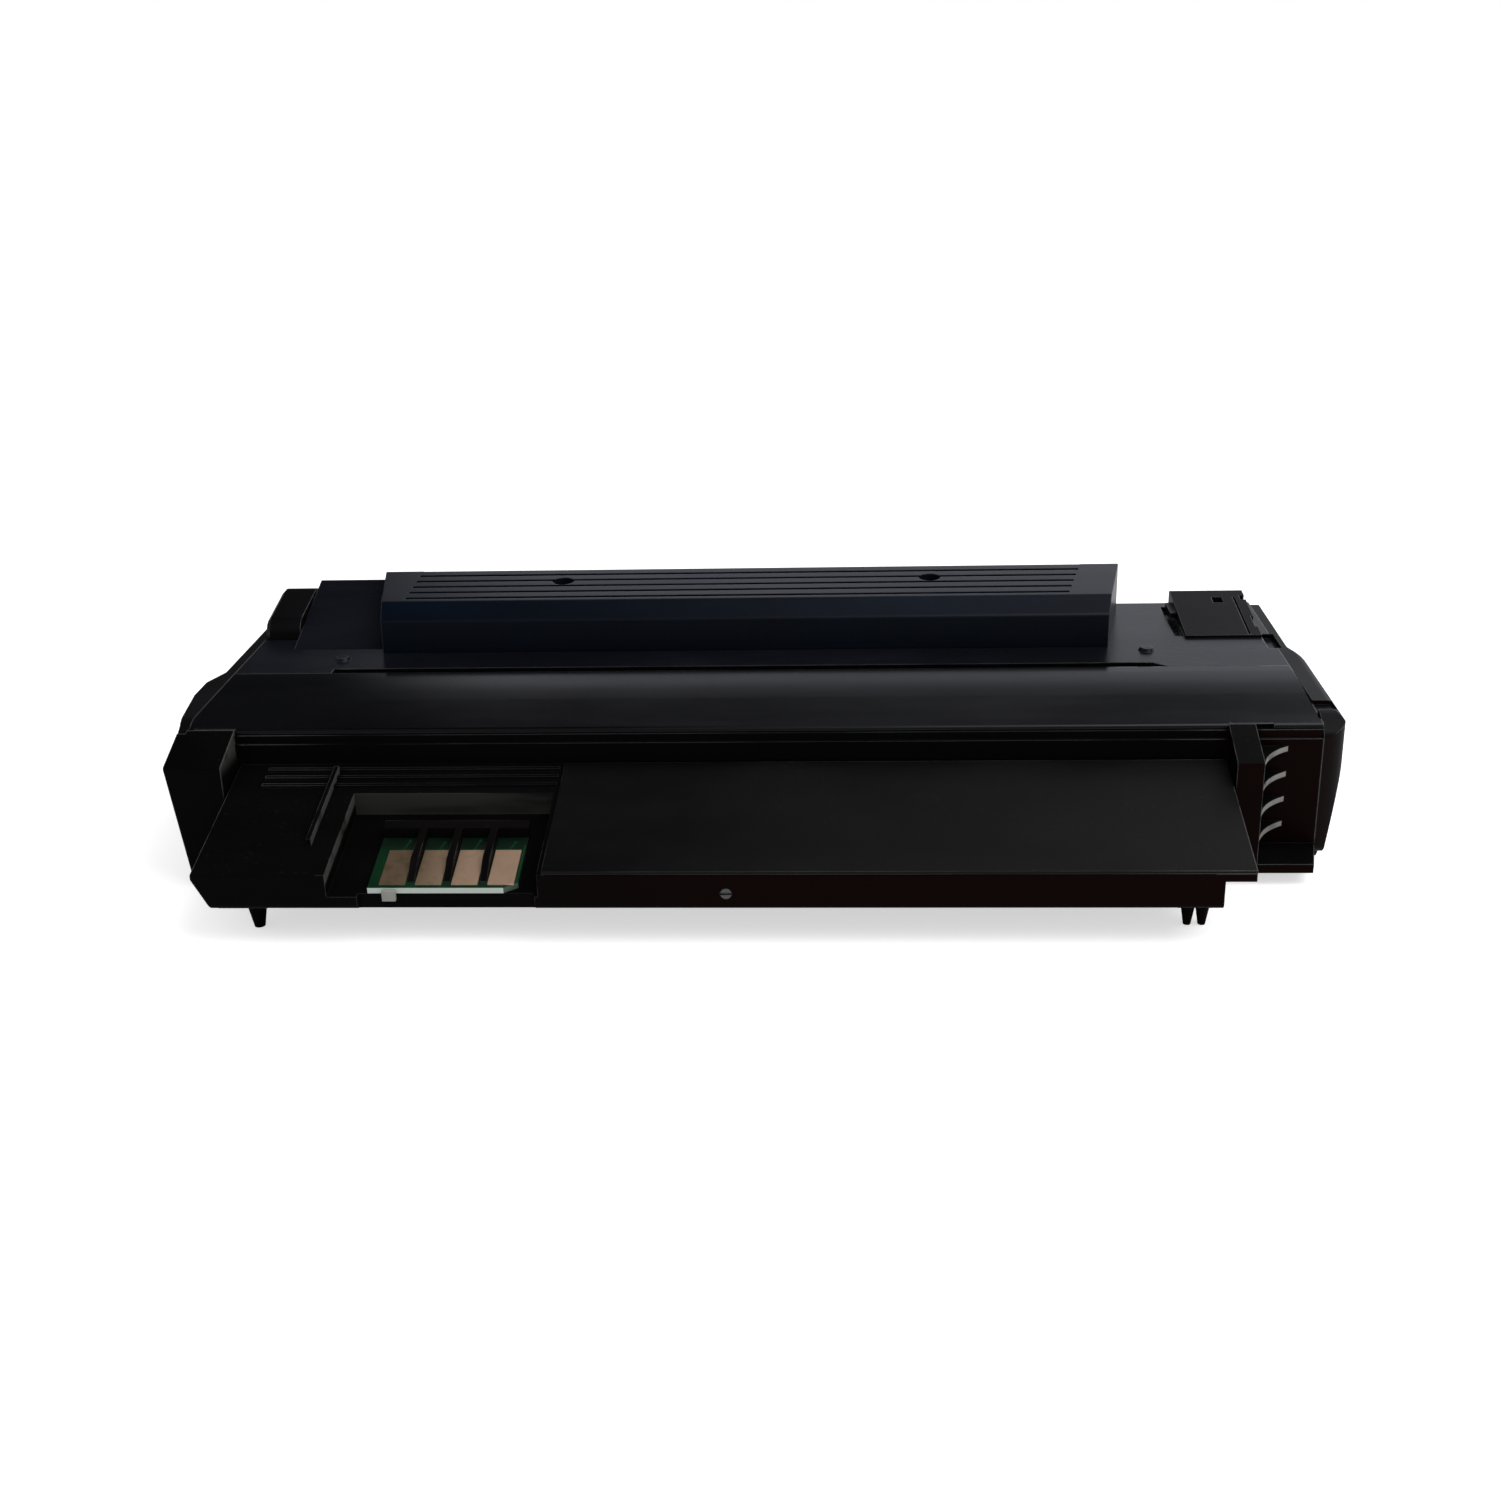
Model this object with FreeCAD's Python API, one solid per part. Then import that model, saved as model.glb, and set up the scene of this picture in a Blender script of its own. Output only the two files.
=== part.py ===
import FreeCAD, Part
import math
import os

# Toner cartridge: hopper with a chip tongue in front, drum under a laser slit,
# waste unit with a ribbed grip behind. Millimetres, +Z up, X along the rollers,
# -Y towards the tongue, origin in the middle of the footprint on the surface it rests on.

# Drum and rollers
drum_length = 246.0
drum_radius = 12.0
drum_ground = 2.5            # drum above the resting surface
tube_thickness = 0.75
roller_gap = 0.3
running_gap = 0.05
shaft_radius = 3.0
small_shaft_radius = 2.5
journal_radius = 2.0         # thin end of the agitator shaft, clear of the idler gear
pin_reach = 5.0              # drum shaft beyond the right end cap
pin_radius = 2.8             # turned-down ends of the drum shaft
pin_chamfer = 0.6
developer_radius = 7.0
developer_shortfall = 5.0    # each end of the roller inside the drum's end
developer_angle = 172.9
supply_radius = 6.0
supply_shortfall = 7.0
supply_angle = 190.0
charge_radius = 4.5
charge_shortfall = 8.0
charge_angle = 60.0
agitator_angle = 110.0
agitator_sweep = 7.2

# Gears at the left end
drum_teeth = 25
developer_teeth = 15
idler_teeth = 12
supply_teeth = 14
agitator_teeth = 15
pressure_angle = math.radians(20.0)
gear_backlash = 0.16
gear_layer = 3.8
gear_clearance = 0.6
layer_gap = 0.3
idler_post_radius = 1.5
drum_hub_radius = 5.0
flange_plug_length = 8.0

# Shell
wall = 2.0
body_floor = 3.0             # underside of the mouldings
drum_end_gap = 3.5           # end of the drum to a side plate
right_bay = 14.5             # room for the terminals behind the right side plate
cap_thickness = 6.0
cap_skin = 2.8               # thickness of the left cap
cap_swell = 2.8              # how far the left cap swells out beside the hopper
cap_step = 3.5               # how far the right cap steps in behind the drum
cap_lean = 4.0               # how far the right cap leans in at its foot
cap_lean_height = 27.0
lid_thickness = 2.4
stir_gap = 1.36              # agitator sweep to the front wall
stir_headroom = 1.175        # agitator sweep to the lid
drum_behind_slit = 7.0       # slit front edge to the drum axis
slit_width = 3.5
strip_depth = 13.0           # slit to the front of the grip
wiper_reach = 13.2           # drum surface to the rear edge of the wiper bracket
wiper_room = 3.8
finger_depth = 17.5
tongue_reach = 43.9

# Lid
lid_crown = 12.0             # slit edge to the middle of the crown
lid_crown_radius = 380.0
lid_nose_drop = 1.2
lid_nose_radius = 1.0
lid_nose_setback = 1.2
ledge_setback = 0.6
ledge_height = 2.2
snap_slot = (10.5, 1.3, 1.1)         # length, depth and height of the slots of the lid's snaps

# Tongue
tongue_inset_left = 13.3     # from the left end of the hopper
tongue_inset_right = 30.5
tongue_flange = 7.0
tongue_slope = math.tan(math.radians(12.8))
tongue_top = 19.3            # height of its front edge
tongue_floor = 9.4
tongue_taper = 4.0
plate_rise = 0.8
plate_gap = 1.2
ridge_count = 3
ridge_pitch = 3.3
under_rib_count = 5
rib_thickness = 1.4
rib_height = 0.9
peg_inset = 11.4             # left peg from the tongue's left end
peg_radius = 3.0
peg_tip = 1.3
peg_depth = 10.5             # from the tongue's front edge
fork_inset = 4.3             # forked peg from the tongue's right end
fork_radius = 2.4
fork_tip = 0.9
fork_half = 1.7
peg_pad = 6.0
catch_radius = 1.3
catch_x = -1.5

# Chip recess, board, pads and guard
pan_inset = 32.0             # recess from the tongue's left end
pan_back_gap = 12.4          # hopper front wall to the back of the recess
pan_depth = 6.5
mouth_inset_left = 7.2       # notch in the front wall below the board
mouth_inset_right = 0.8
board_margin_left = 9.5
board_margin_right = 5.0
board_gap = 1.4              # tongue front to the board
board_reach = 18.8
board_thickness = 1.4
board_corner = (5.0, 2.4)            # width and depth of the cut-off corner
pad_count = 4
pad_width = 6.2
pad_gap = 1.0                # board front to the pads
pad_reach = 12.6
pad_thickness = 0.3
pad_margin_left = 2.6
pad_margin_right = 0.9
fin_width = 1.8
fin_side_gap = 0.3
fin_height = 2.4
fin_start = 3.4
fin_ramp = 5.6
guard_gap = 0.3
guard_bar = 3.0
latch = (3.6, 3.2, 1.1, 2.5)         # place along the board, width, depth and height of the tab

# Corner blocks with gussets
block_reach = 12.4
block_drop_back = 1.1        # below the top of the body
block_drop_front = 5.9
block_lift = 0.4             # above the underside
block_overhang = 2.2         # left block beyond the hopper's end
block_width_left = 14.5
block_gap = 7.5              # tongue to the right block
block_taper = 3.4
gusset_width = 8.0
gusset_thickness = 1.4
gusset_count = 4
gusset_pitch = 6.7
gusset_hollow = 0.38         # how deep the free edge of a web curves in
foot_plate = 2.4
foot_plate_taper = 2.8

# Slit, rear openings and locating knobs
slit_inset_left = 26.8
slit_inset_right = 31.5
slit_taper = 4.0
knob_radius = 2.2
knob_tip = 1.6
knob_height = 0.9
hub_clearance = 1.0

# Grip
grip_inset_left = 37.3       # from the left end of the housing
grip_inset_right = 45.5
grip_flare_left = 7.0
grip_flare_right = 7.5
grip_wall_rise = 9.0
grip_brow_rise = 12.0
grip_top_rise = 13.0
grip_brow_depth = 9.5
grip_lean = 1.3
groove_count = 6
groove_pitch = 4.9
groove_width = 1.5
groove_depth = 0.8
groove_inset_left = 4.5
groove_inset_right = 10.0
groove_slant = 0.23
grip_screw_share = 0.525     # distance of the screws over the length of the grip
grip_screw_setback = 4.5     # chamber back to the screws
post_radius = 4.0
post_height = 16.0
head_recess = 3.6

# Covers at the rear corners
dome_width = 10.2
dome_depth = 26.5
dome_shoulder_rise = 5.0
dome_rise = 9.9
dome_wall = 1.8
ramp_gap = 0.6
ramp_depth = 35.5
ramp_rise = 11.0
contact_inset = 23.2         # left side of the contact cover from the right seam
contact_width = 20.7
contact_depth = 32.0
contact_rise_front = 0.7
contact_rise_back = 4.2
contact_wall = 1.6
hook = (1.8, 4.3, 5.5, 9.5)          # overhang, width, setback and depth of the hook
slot_depth = 1.4

# Small parts
bush_radius = 5.0
small_bush_radius = 4.2
bush_flange = 1.0
bush_collar = 0.9
screw_radius = 1.5
screw_bite = 8.5             # screw thread in a stud
screw_head_radius = 2.8
screw_head_height = 1.8
cap_boss_radius = 3.0
foot_height = 2.5
foot_span = 14.0
blade_thickness = 1.2
blade_setback = 4.8          # blade screws from the bracket's rear edge
bracket_height = 7.0
wiper_fold = 5.0
doctor_gap = 4.0             # developer roller to the doctor bracket
holder_wall = 1.6
holder_gap = 1.5
holder_width = 6.0
wire_radius = 0.35
coil_radius = 1.9
coil_turns = 3.5
seal_width = 7.5
seal_depth = 9.0
plug_radius = 5.4
plug_rim = 0.8
plug_grip = (3.0, 1.6, 8.0)          # height, thickness and length of the plug's fin
terminal = (6.0, 10.0, 0.5, 3.5)     # width, height, thickness and spring reach


def polar(centre, distance, degrees):
    """Point at a distance and an angle from a centre, in the Y-Z plane."""
    turn = math.radians(degrees)
    return (centre[0] + distance * math.cos(turn), centre[1] + distance * math.sin(turn))


def mesh_distance(teeth_a, teeth_b):
    """Distance between the centres of two meshed gears."""
    return gear_module * (teeth_a + teeth_b) / 2


def idler_centre(a, b, reach_a, reach_b):
    """Upper point at the given reaches from two centres."""
    span = math.dist(a, b)
    along = (reach_a ** 2 - reach_b ** 2 + span ** 2) / (2 * span)
    rise = math.sqrt(reach_a ** 2 - along ** 2)
    uy = (b[0] - a[0]) / span
    uz = (b[1] - a[1]) / span
    return (a[0] + uy * along + uz * rise, a[1] + uz * along - uy * rise)


# Depths, from the gear and roller layout about the drum
drum_to_developer = drum_radius + developer_radius + roller_gap
gear_module = 2 * drum_to_developer / (drum_teeth + developer_teeth)
supply_reach = developer_radius + supply_radius + roller_gap
agitator_offset = polar(
    polar(polar((0, 0), drum_to_developer, developer_angle), supply_reach, supply_angle),
    mesh_distance(supply_teeth, agitator_teeth),
    agitator_angle,
)
hopper_depth = wall + stir_gap + agitator_sweep - agitator_offset[0] - drum_behind_slit
drum_to_back = drum_radius + wiper_reach + wiper_room + wall
chamber_depth = drum_to_back + drum_behind_slit - slit_width
footprint = tongue_reach + hopper_depth + slit_width + chamber_depth + finger_depth
front = -footprint / 2
back = footprint / 2
hopper_front = front + tongue_reach
hopper_inner = hopper_front + wall
slit_front = hopper_front + hopper_depth
slit_back = slit_front + slit_width
grip_front = slit_back + strip_depth
chamber_back = slit_back + chamber_depth
pan_back = hopper_front - pan_back_gap
block_front = hopper_front - block_reach
board_front = front + board_gap

# Axes in the Y-Z plane
drum_axis = (slit_front + drum_behind_slit, drum_ground + drum_radius)
developer_axis = polar(drum_axis, drum_to_developer, developer_angle)
supply_axis = polar(developer_axis, supply_reach, supply_angle)
charge_axis = polar(drum_axis, drum_radius + charge_radius + roller_gap, charge_angle)
agitator_axis = (drum_axis[0] + agitator_offset[0], drum_axis[1] + agitator_offset[1])
idler_axis = idler_centre(
    developer_axis,
    supply_axis,
    mesh_distance(developer_teeth, idler_teeth),
    mesh_distance(supply_teeth, idler_teeth),
)
drum_crest = drum_axis[1] + drum_radius
waste_lip = drum_axis[0] + drum_radius + 1.25 * wall
trough_back = drum_axis[0] - drum_radius - 0.75 * wall
trough_lip = developer_axis[1] - developer_radius - 0.65 * wall
lid_skirt_end = drum_crest + 0.25 * wall
guard_end = drum_crest + wall

# Heights
lid_seam = agitator_axis[1] + agitator_sweep + stir_headroom
body_top = lid_seam + lid_thickness
block_top_back = body_top - block_drop_back
block_top_front = body_top - block_drop_front
block_floor = body_floor + block_lift
floor_top = body_floor + wall
deck = body_top - wall                # underside of the waste housing's top

# Places along the rollers
half_drum = drum_length / 2
half_developer = half_drum - developer_shortfall
half_supply = half_drum - supply_shortfall
half_charge = half_drum - charge_shortfall
plate_inner = half_drum + drum_end_gap
plate_outer = plate_inner + wall
gear_face = -plate_outer - gear_clearance
gear_end = gear_face - 3 * gear_layer
body_left = gear_end - layer_gap
body_right = plate_outer + right_bay
cap_outer = body_right + cap_thickness
rear_outer = cap_outer - cap_step
left_outer = body_left - cap_skin
tongue_left = body_left + tongue_inset_left
tongue_right = body_right - tongue_inset_right
board_width = pad_margin_left + pad_count * pad_width + pad_margin_right
pad_pitch = pad_width + fin_width + 2 * fin_side_gap
board_width += (pad_count - 1) * (pad_pitch - pad_width)
pan_left = tongue_left + pan_inset
board_left = pan_left + board_margin_left
pan_right = board_left + board_width + board_margin_right
plate_left = pan_right + plate_gap
left_block = (body_left - block_overhang, body_left - block_overhang + block_width_left)
right_block = (tongue_right + block_gap, plate_inner)
slit_left = body_left + slit_inset_left
slit_right = body_right - slit_inset_right
grip_left = body_left + grip_inset_left
grip_right = body_right - grip_inset_right
grip_half_span = grip_screw_share * (grip_right - grip_left) / 2
grip_screws = (
    (grip_left + grip_right) / 2 - grip_half_span,
    (grip_left + grip_right) / 2 + grip_half_span,
)
grip_screw_y = chamber_back + grip_screw_setback
grip_brow_y = grip_front + grip_brow_depth
dome_right = body_left + dome_width
ramp_left = dome_right + ramp_gap
contact_left = body_right - contact_inset
contact_right = contact_left + contact_width
contact_back = back - 0.25 * wall
contact_front = back - contact_depth

# Bosses, plug and catch
front_boss = (hopper_inner + cap_boss_radius + 0.5, floor_top + cap_boss_radius + 1.0)
rear_boss = (chamber_back - wall - cap_boss_radius - 0.5, lid_seam - cap_boss_radius - 3.0)
plug_axis = (developer_axis[0] - 0.4 * wall, developer_axis[1] + 1.8 * developer_radius)
catch_place = (catch_x, front, 0.42 * tongue_floor + 0.5 * tongue_top)


def tongue_height(y):
    """Height of the tongue's upper plane at a depth y."""
    return tongue_top + (y - front) * tongue_slope


def grip_height(y):
    """Height of the grip's top at a depth y."""
    share = (y - grip_brow_y) / (back - grip_brow_y)
    return body_top + grip_brow_rise + share * (grip_top_rise - grip_brow_rise)


def block(x0, x1, y0, y1, z0, z1):
    """Box between two corners."""
    return Part.makeBox(x1 - x0, y1 - y0, z1 - z0, FreeCAD.Vector(x0, y0, z0))


def rod(axis, radius, x0, x1):
    """Cylinder along X about a point of the Y-Z plane."""
    base = FreeCAD.Vector(x0, axis[0], axis[1])
    return Part.makeCylinder(radius, x1 - x0, base, FreeCAD.Vector(1, 0, 0))


def tube(axis, outer, inner, x0, x1):
    """Hollow cylinder along X."""
    return rod(axis, outer, x0, x1).cut(rod(axis, inner, x0, x1))


def regular(base, along, radius, length, sides=6):
    """Regular prism from a point along a main axis; its corners lie on the radius."""
    across = FreeCAD.Vector(along.y, along.z, along.x)
    upward = along.cross(across)
    corners = []
    for k in range(sides + 1):
        turn = 2 * math.pi * (k % sides + 0.5) / sides
        corners.append(base + across * (radius * math.cos(turn)) + upward * (radius * math.sin(turn)))
    return Part.Face(Part.makePolygon(corners)).extrude(along * length)


def regular_x(axis, radius, x0, x1, sides=6):
    """Regular prism along X about a point of the Y-Z plane."""
    base = FreeCAD.Vector(x0, axis[0], axis[1])
    return regular(base, FreeCAD.Vector(1, 0, 0), radius, x1 - x0, sides)


def outline(points, place):
    """Closed wire through points (u, v) or (u, v, corner radius)."""
    ends = []
    for i, point in enumerate(points):
        at = FreeCAD.Vector(point[0], point[1], 0)
        if len(point) == 2:
            ends.append((at, None, at))
            continue
        before = FreeCAD.Vector(*points[i - 1][:2], 0) - at
        after = FreeCAD.Vector(*points[(i + 1) % len(points)][:2], 0) - at
        before.normalize()
        after.normalize()
        half = before.getAngle(after) / 2
        inward = before + after
        inward.normalize()
        reach = point[2] / math.tan(half)
        bulge = point[2] / math.sin(half) - point[2]
        ends.append((at + before * reach, at + inward * bulge, at + after * reach))
    edges = []
    for i, (start, middle, stop) in enumerate(ends):
        if middle is not None:
            edges.append(Part.Arc(place(start), place(middle), place(stop)).toShape())
        following = ends[(i + 1) % len(ends)][0]
        if stop.distanceToPoint(following) > 1e-6:
            edges.append(Part.LineSegment(place(stop), place(following)).toShape())
    return Part.Wire(Part.__sortEdges__(edges))


def prism_x(points, x0, x1):
    """Profile in the Y-Z plane, run along X."""
    wire = outline(points, lambda p: FreeCAD.Vector(x0, p.x, p.y))
    return Part.Face(wire).extrude(FreeCAD.Vector(x1 - x0, 0, 0))


def prism_z(points, z0, z1):
    """Profile in the X-Y plane, run along Z."""
    wire = outline(points, lambda p: FreeCAD.Vector(p.x, p.y, z0))
    return Part.Face(wire).extrude(FreeCAD.Vector(0, 0, z1 - z0))


def prism_y(points, y0, y1):
    """Profile in the X-Z plane, run along Y."""
    wire = outline(points, lambda p: FreeCAD.Vector(p.x, y0, p.y))
    return Part.Face(wire).extrude(FreeCAD.Vector(0, y1 - y0, 0))


def join(shapes):
    """One solid from shapes that touch or overlap."""
    shapes = list(shapes)
    return shapes[0].multiFuse(shapes[1:]).removeSplitter()


def mirrored(shape):
    """The same shape at the other end."""
    return shape.mirror(FreeCAD.Vector(0, 0, 0), FreeCAD.Vector(1, 0, 0))


def involute(radius, base):
    """Involute function at a radius."""
    turn = math.acos(min(1.0, base / radius))
    return math.tan(turn) - turn


def gear(teeth, centre, phase, x0, x1):
    """Spur gear along X, a tooth pointing at the phase angle."""
    pitch_radius = gear_module * teeth / 2
    base = pitch_radius * math.cos(pressure_angle)
    tip = pitch_radius + 0.95 * gear_module
    root = pitch_radius - 1.2 * gear_module
    half_pitch = math.pi / (2 * teeth) - gear_backlash / (2 * pitch_radius)
    half_pitch += involute(pitch_radius, base)
    flank = [(r, half_pitch - involute(max(r, base), base)) for r in (root, pitch_radius, tip)]
    points = []
    for k in range(teeth):
        middle = phase + 2 * math.pi * k / teeth
        for r, half in flank:
            points.append((r, middle - half))
        for r, half in reversed(flank):
            points.append((r, middle + half))
    places = [(centre[0] + r * math.cos(a), centre[1] + r * math.sin(a)) for r, a in points]
    return prism_x(places, x0, x1)


def mesh_phase(phase, teeth, centre, mate_teeth, mate_centre):
    """Phase of a mating gear whose gap meets a tooth of the first gear."""
    towards = math.atan2(mate_centre[1] - centre[1], mate_centre[0] - centre[0])
    step = 2 * math.pi / teeth
    ahead = ((towards - phase) % step) / step
    return towards + math.pi + (ahead - 0.5) * 2 * math.pi / mate_teeth


drum_phase = 0.0
developer_phase = mesh_phase(drum_phase, drum_teeth, drum_axis, developer_teeth, developer_axis)
idler_phase = mesh_phase(developer_phase, developer_teeth, developer_axis, idler_teeth, idler_axis)
supply_phase = mesh_phase(idler_phase, idler_teeth, idler_axis, supply_teeth, supply_axis)
agitator_phase = mesh_phase(supply_phase, supply_teeth, supply_axis, agitator_teeth, agitator_axis)


def sloped(y0, y1, top, bottom):
    """Profile between two depths below the tongue's plane."""
    return [
        (y0, tongue_height(y0) - bottom),
        (y0, tongue_height(y0) - top),
        (y1, tongue_height(y1) - top),
        (y1, tongue_height(y1) - bottom),
    ]


def trough():
    """Front wall and floor of the hopper, with the ledged strip under the lid."""
    setback = hopper_front + ledge_setback
    ledge = lid_seam - ledge_height
    return prism_x(
        [
            (setback, lid_seam),
            (setback, ledge),
            (hopper_front, ledge),
            (hopper_front, body_floor, 1.25 * wall),
            (trough_back, body_floor),
            (trough_back, trough_lip),
            (trough_back - wall, trough_lip),
            (trough_back - wall, floor_top),
            (hopper_inner, floor_top),
            (hopper_inner, lid_seam),
        ],
        body_left,
        body_right,
    )


def hopper_side_plate():
    """Right side plate; its rear edge stands clear of the drum."""
    skirt_face = slit_front - wall
    return prism_x(
        [
            (hopper_inner, floor_top),
            (trough_back - wall, floor_top),
            (trough_back - wall, developer_axis[1] - developer_radius),
            (skirt_face, developer_axis[1]),
            (skirt_face, lid_seam),
            (hopper_inner, lid_seam),
        ],
        plate_inner,
        plate_outer,
    )


def tongue_shell():
    """Wedge-shaped tongue, hollow and ribbed below."""
    y1 = hopper_front
    inner_y = front + wall
    skin = plate_rise + wall
    outer = prism_x(
        [
            (front, tongue_floor, 0.75 * wall),
            (front, tongue_height(front) - plate_rise, 0.3 * wall),
            (y1, tongue_height(y1) - plate_rise),
            (y1, tongue_floor),
        ],
        tongue_left,
        tongue_right,
    )
    hollow = prism_x(
        [
            (inner_y, tongue_floor - 1),
            (inner_y, tongue_height(inner_y) - skin),
            (y1, tongue_height(y1) - skin),
            (y1, tongue_floor - 1),
        ],
        tongue_left + wall + tongue_taper,
        tongue_right - wall,
    )
    pieces = [outer.cut(hollow).cut(tongue_wedge())]
    flange = sloped(front, y1, plate_rise, plate_rise + wall)
    pieces.append(prism_x(flange, tongue_right - wall, tongue_right + tongue_flange))
    pitch = (tongue_right - plate_left) / (under_rib_count + 0.25)
    for i in range(under_rib_count):
        x = tongue_right - (i + 0.5) * pitch
        rib = prism_x(
            [
                (inner_y, tongue_floor + rib_thickness),
                (inner_y, tongue_height(inner_y) - skin),
                (y1, tongue_height(y1) - skin),
                (y1, tongue_floor + rib_thickness),
            ],
            x,
            x + rib_thickness,
        )
        pieces.append(rib)
    return join(pieces)


def tongue_wedge():
    """What narrows the tongue's left end towards its foot."""
    return prism_y(
        [
            (tongue_left, tongue_top - wall),
            (tongue_left + tongue_taper, tongue_floor),
            (tongue_left + tongue_taper, 0),
            (tongue_left - 1, 0),
            (tongue_left - 1, tongue_top),
        ],
        front - 1,
        block_front,
    )


def chip_pan():
    """Solid from which the chip recess is cut."""
    return prism_x(
        sloped(front, pan_back + wall, plate_rise, pan_depth + wall),
        pan_left - wall,
        pan_right + wall,
    )


def chip_recess():
    """Space of the recess, open upwards and forwards."""
    space = prism_x(sloped(front - 5, pan_back, -5, pan_depth), pan_left, pan_right)
    mouth = block(
        pan_left + mouth_inset_left,
        pan_right - mouth_inset_right,
        front - 1,
        board_front,
        tongue_floor - 1,
        tongue_height(front),
    )
    return space.fuse(mouth)


def corner_block(x0, x1):
    """Upright block in front of the hopper, with a sloped top."""
    nose = hopper_front + lid_nose_setback
    return prism_x(
        [
            (block_front, block_floor, 0.5 * wall),
            (block_front, block_top_front, 0.5 * wall),
            (nose, block_top_back),
            (nose, lid_seam),
            (hopper_inner, lid_seam),
            (hopper_inner, block_floor + wall),
            (hopper_front, block_floor),
        ],
        x0,
        x1,
    )


def left_corner_block():
    """Left block; beyond the hopper's end it stays in front of the cap, and it narrows downwards."""
    outer = left_block[0]
    wedge = prism_y(
        [
            (outer, block_top_front),
            (outer + block_taper, block_floor),
            (outer + block_taper, 0),
            (outer - 1, 0),
            (outer - 1, block_top_front),
        ],
        block_front - 1,
        hopper_front,
    )
    beyond = block(outer - 1, body_left, hopper_front, hopper_inner + 1, 0, body_top + 1)
    return corner_block(*left_block).cut(wedge).cut(beyond)


def gussets():
    """Webs with hollow free edges between the right block and the hopper, over a foot plate."""
    x0 = right_block[1]
    pieces = []
    for i in range(gusset_count):
        z = block_top_front - 0.3 * wall - i * gusset_pitch
        start = FreeCAD.Vector(x0, block_front, z)
        stop = FreeCAD.Vector(x0 + gusset_width, hopper_front, z)
        middle = FreeCAD.Vector(
            x0 + gusset_hollow * gusset_width, hopper_front - gusset_hollow * block_reach, z
        )
        corner = FreeCAD.Vector(x0, hopper_front, z)
        edges = [
            Part.Arc(start, middle, stop).toShape(),
            Part.LineSegment(stop, corner).toShape(),
            Part.LineSegment(corner, start).toShape(),
        ]
        web = Part.Face(Part.Wire(edges)).extrude(FreeCAD.Vector(0, 0, -gusset_thickness))
        pieces.append(web)
    foot = [
        (x0, block_front),
        (body_right - foot_plate_taper, block_front),
        (body_right, hopper_front),
        (body_right, hopper_inner),
        (x0, hopper_inner),
    ]
    pieces.append(prism_z(foot, block_floor, block_floor + foot_plate))
    return pieces


def peg(x, y, base_radius, tip_radius):
    """Tapered locating peg below the tongue."""
    return Part.makeCone(
        tip_radius, base_radius, tongue_floor, FreeCAD.Vector(x, y, 0), FreeCAD.Vector(0, 0, 1)
    )


def peg_pads():
    """Pegs and the floor pads that carry them."""
    left_x = tongue_left + peg_inset
    fork_x = tongue_right - fork_inset
    peg_y = front + peg_depth
    fork_y = peg_y + 0.5 * wall
    pad_back = peg_y + peg_pad
    top = tongue_floor + wall
    return [
        block(left_x - peg_pad, left_x + peg_pad, front + 1, pad_back, tongue_floor, top),
        block(fork_x - peg_pad, tongue_right, front + 1, pad_back, tongue_floor, top),
        peg(left_x, peg_y, peg_radius, peg_tip),
        peg(fork_x - fork_half, fork_y, fork_radius, fork_tip),
        peg(fork_x + fork_half, fork_y, fork_radius, fork_tip),
    ]


def tongue_ridges():
    """Fine ridges on the left part of the tongue, behind the chip recess, and one along it."""
    pieces = []
    width = 0.5 * wall
    for i in range(ridge_count):
        y0 = hopper_front - 1.2 * wall - i * ridge_pitch
        section = sloped(y0 - width, y0, 0.25 * plate_rise, plate_rise + 0.25 * wall)
        pieces.append(prism_x(section, tongue_left + 4 * wall, plate_left - 0.5 * wall))
    rib_x = pan_left - 3.45 * wall
    section = sloped(front + peg_depth + 0.5, hopper_front - 1.75 * wall, -rib_height, plate_rise + 0.25 * wall)
    pieces.append(prism_x(section, rib_x, rib_x + 0.6 * wall))
    return pieces


def studs(axis):
    """Hexagonal studs of the cap screws at both ends, and the holes for the screws."""
    right_length = body_right - plate_outer
    left_length = -plate_outer - body_left
    solids = [
        regular_x(axis, cap_boss_radius, plate_outer, plate_outer + right_length),
        regular_x(axis, cap_boss_radius, body_left, body_left + left_length),
    ]
    holes = [
        regular_x(axis, screw_radius, body_right - screw_bite, body_right),
        regular_x(axis, screw_radius, body_left, body_left + screw_bite),
    ]
    return solids, holes


def hopper_body():
    """Lower hopper moulding."""
    plate = hopper_side_plate()
    stud_solids, holes = studs(front_boss)
    pieces = [trough(), plate, mirrored(plate), tongue_shell(), chip_pan()]
    pieces += [corner_block(*right_block), left_corner_block()]
    pieces += gussets()
    pieces += peg_pads()
    pieces += tongue_ridges()
    pieces += stud_solids
    body = join(pieces)
    holes.append(chip_recess())
    for inner in (plate_inner, -plate_outer):
        x0 = inner - 0.01
        x1 = inner + wall + 0.01
        holes.append(regular_x(developer_axis, bush_radius, x0, x1, 8))
        holes.append(regular_x(supply_axis, small_bush_radius, x0, x1, 8))
        holes.append(rod(agitator_axis, small_shaft_radius + running_gap, x0, x1))
    holes.append(rod(plug_axis, plug_radius, plate_inner - 1, plate_outer + 1))
    holes.append(rod(idler_axis, idler_post_radius, -plate_outer - 1, -plate_inner + 1))
    catch_hole = Part.makeCylinder(
        catch_radius, wall + 2, FreeCAD.Vector(*catch_place), FreeCAD.Vector(0, 1, 0)
    )
    holes.append(catch_hole)
    return body.cut(Part.makeCompound(holes))


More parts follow.
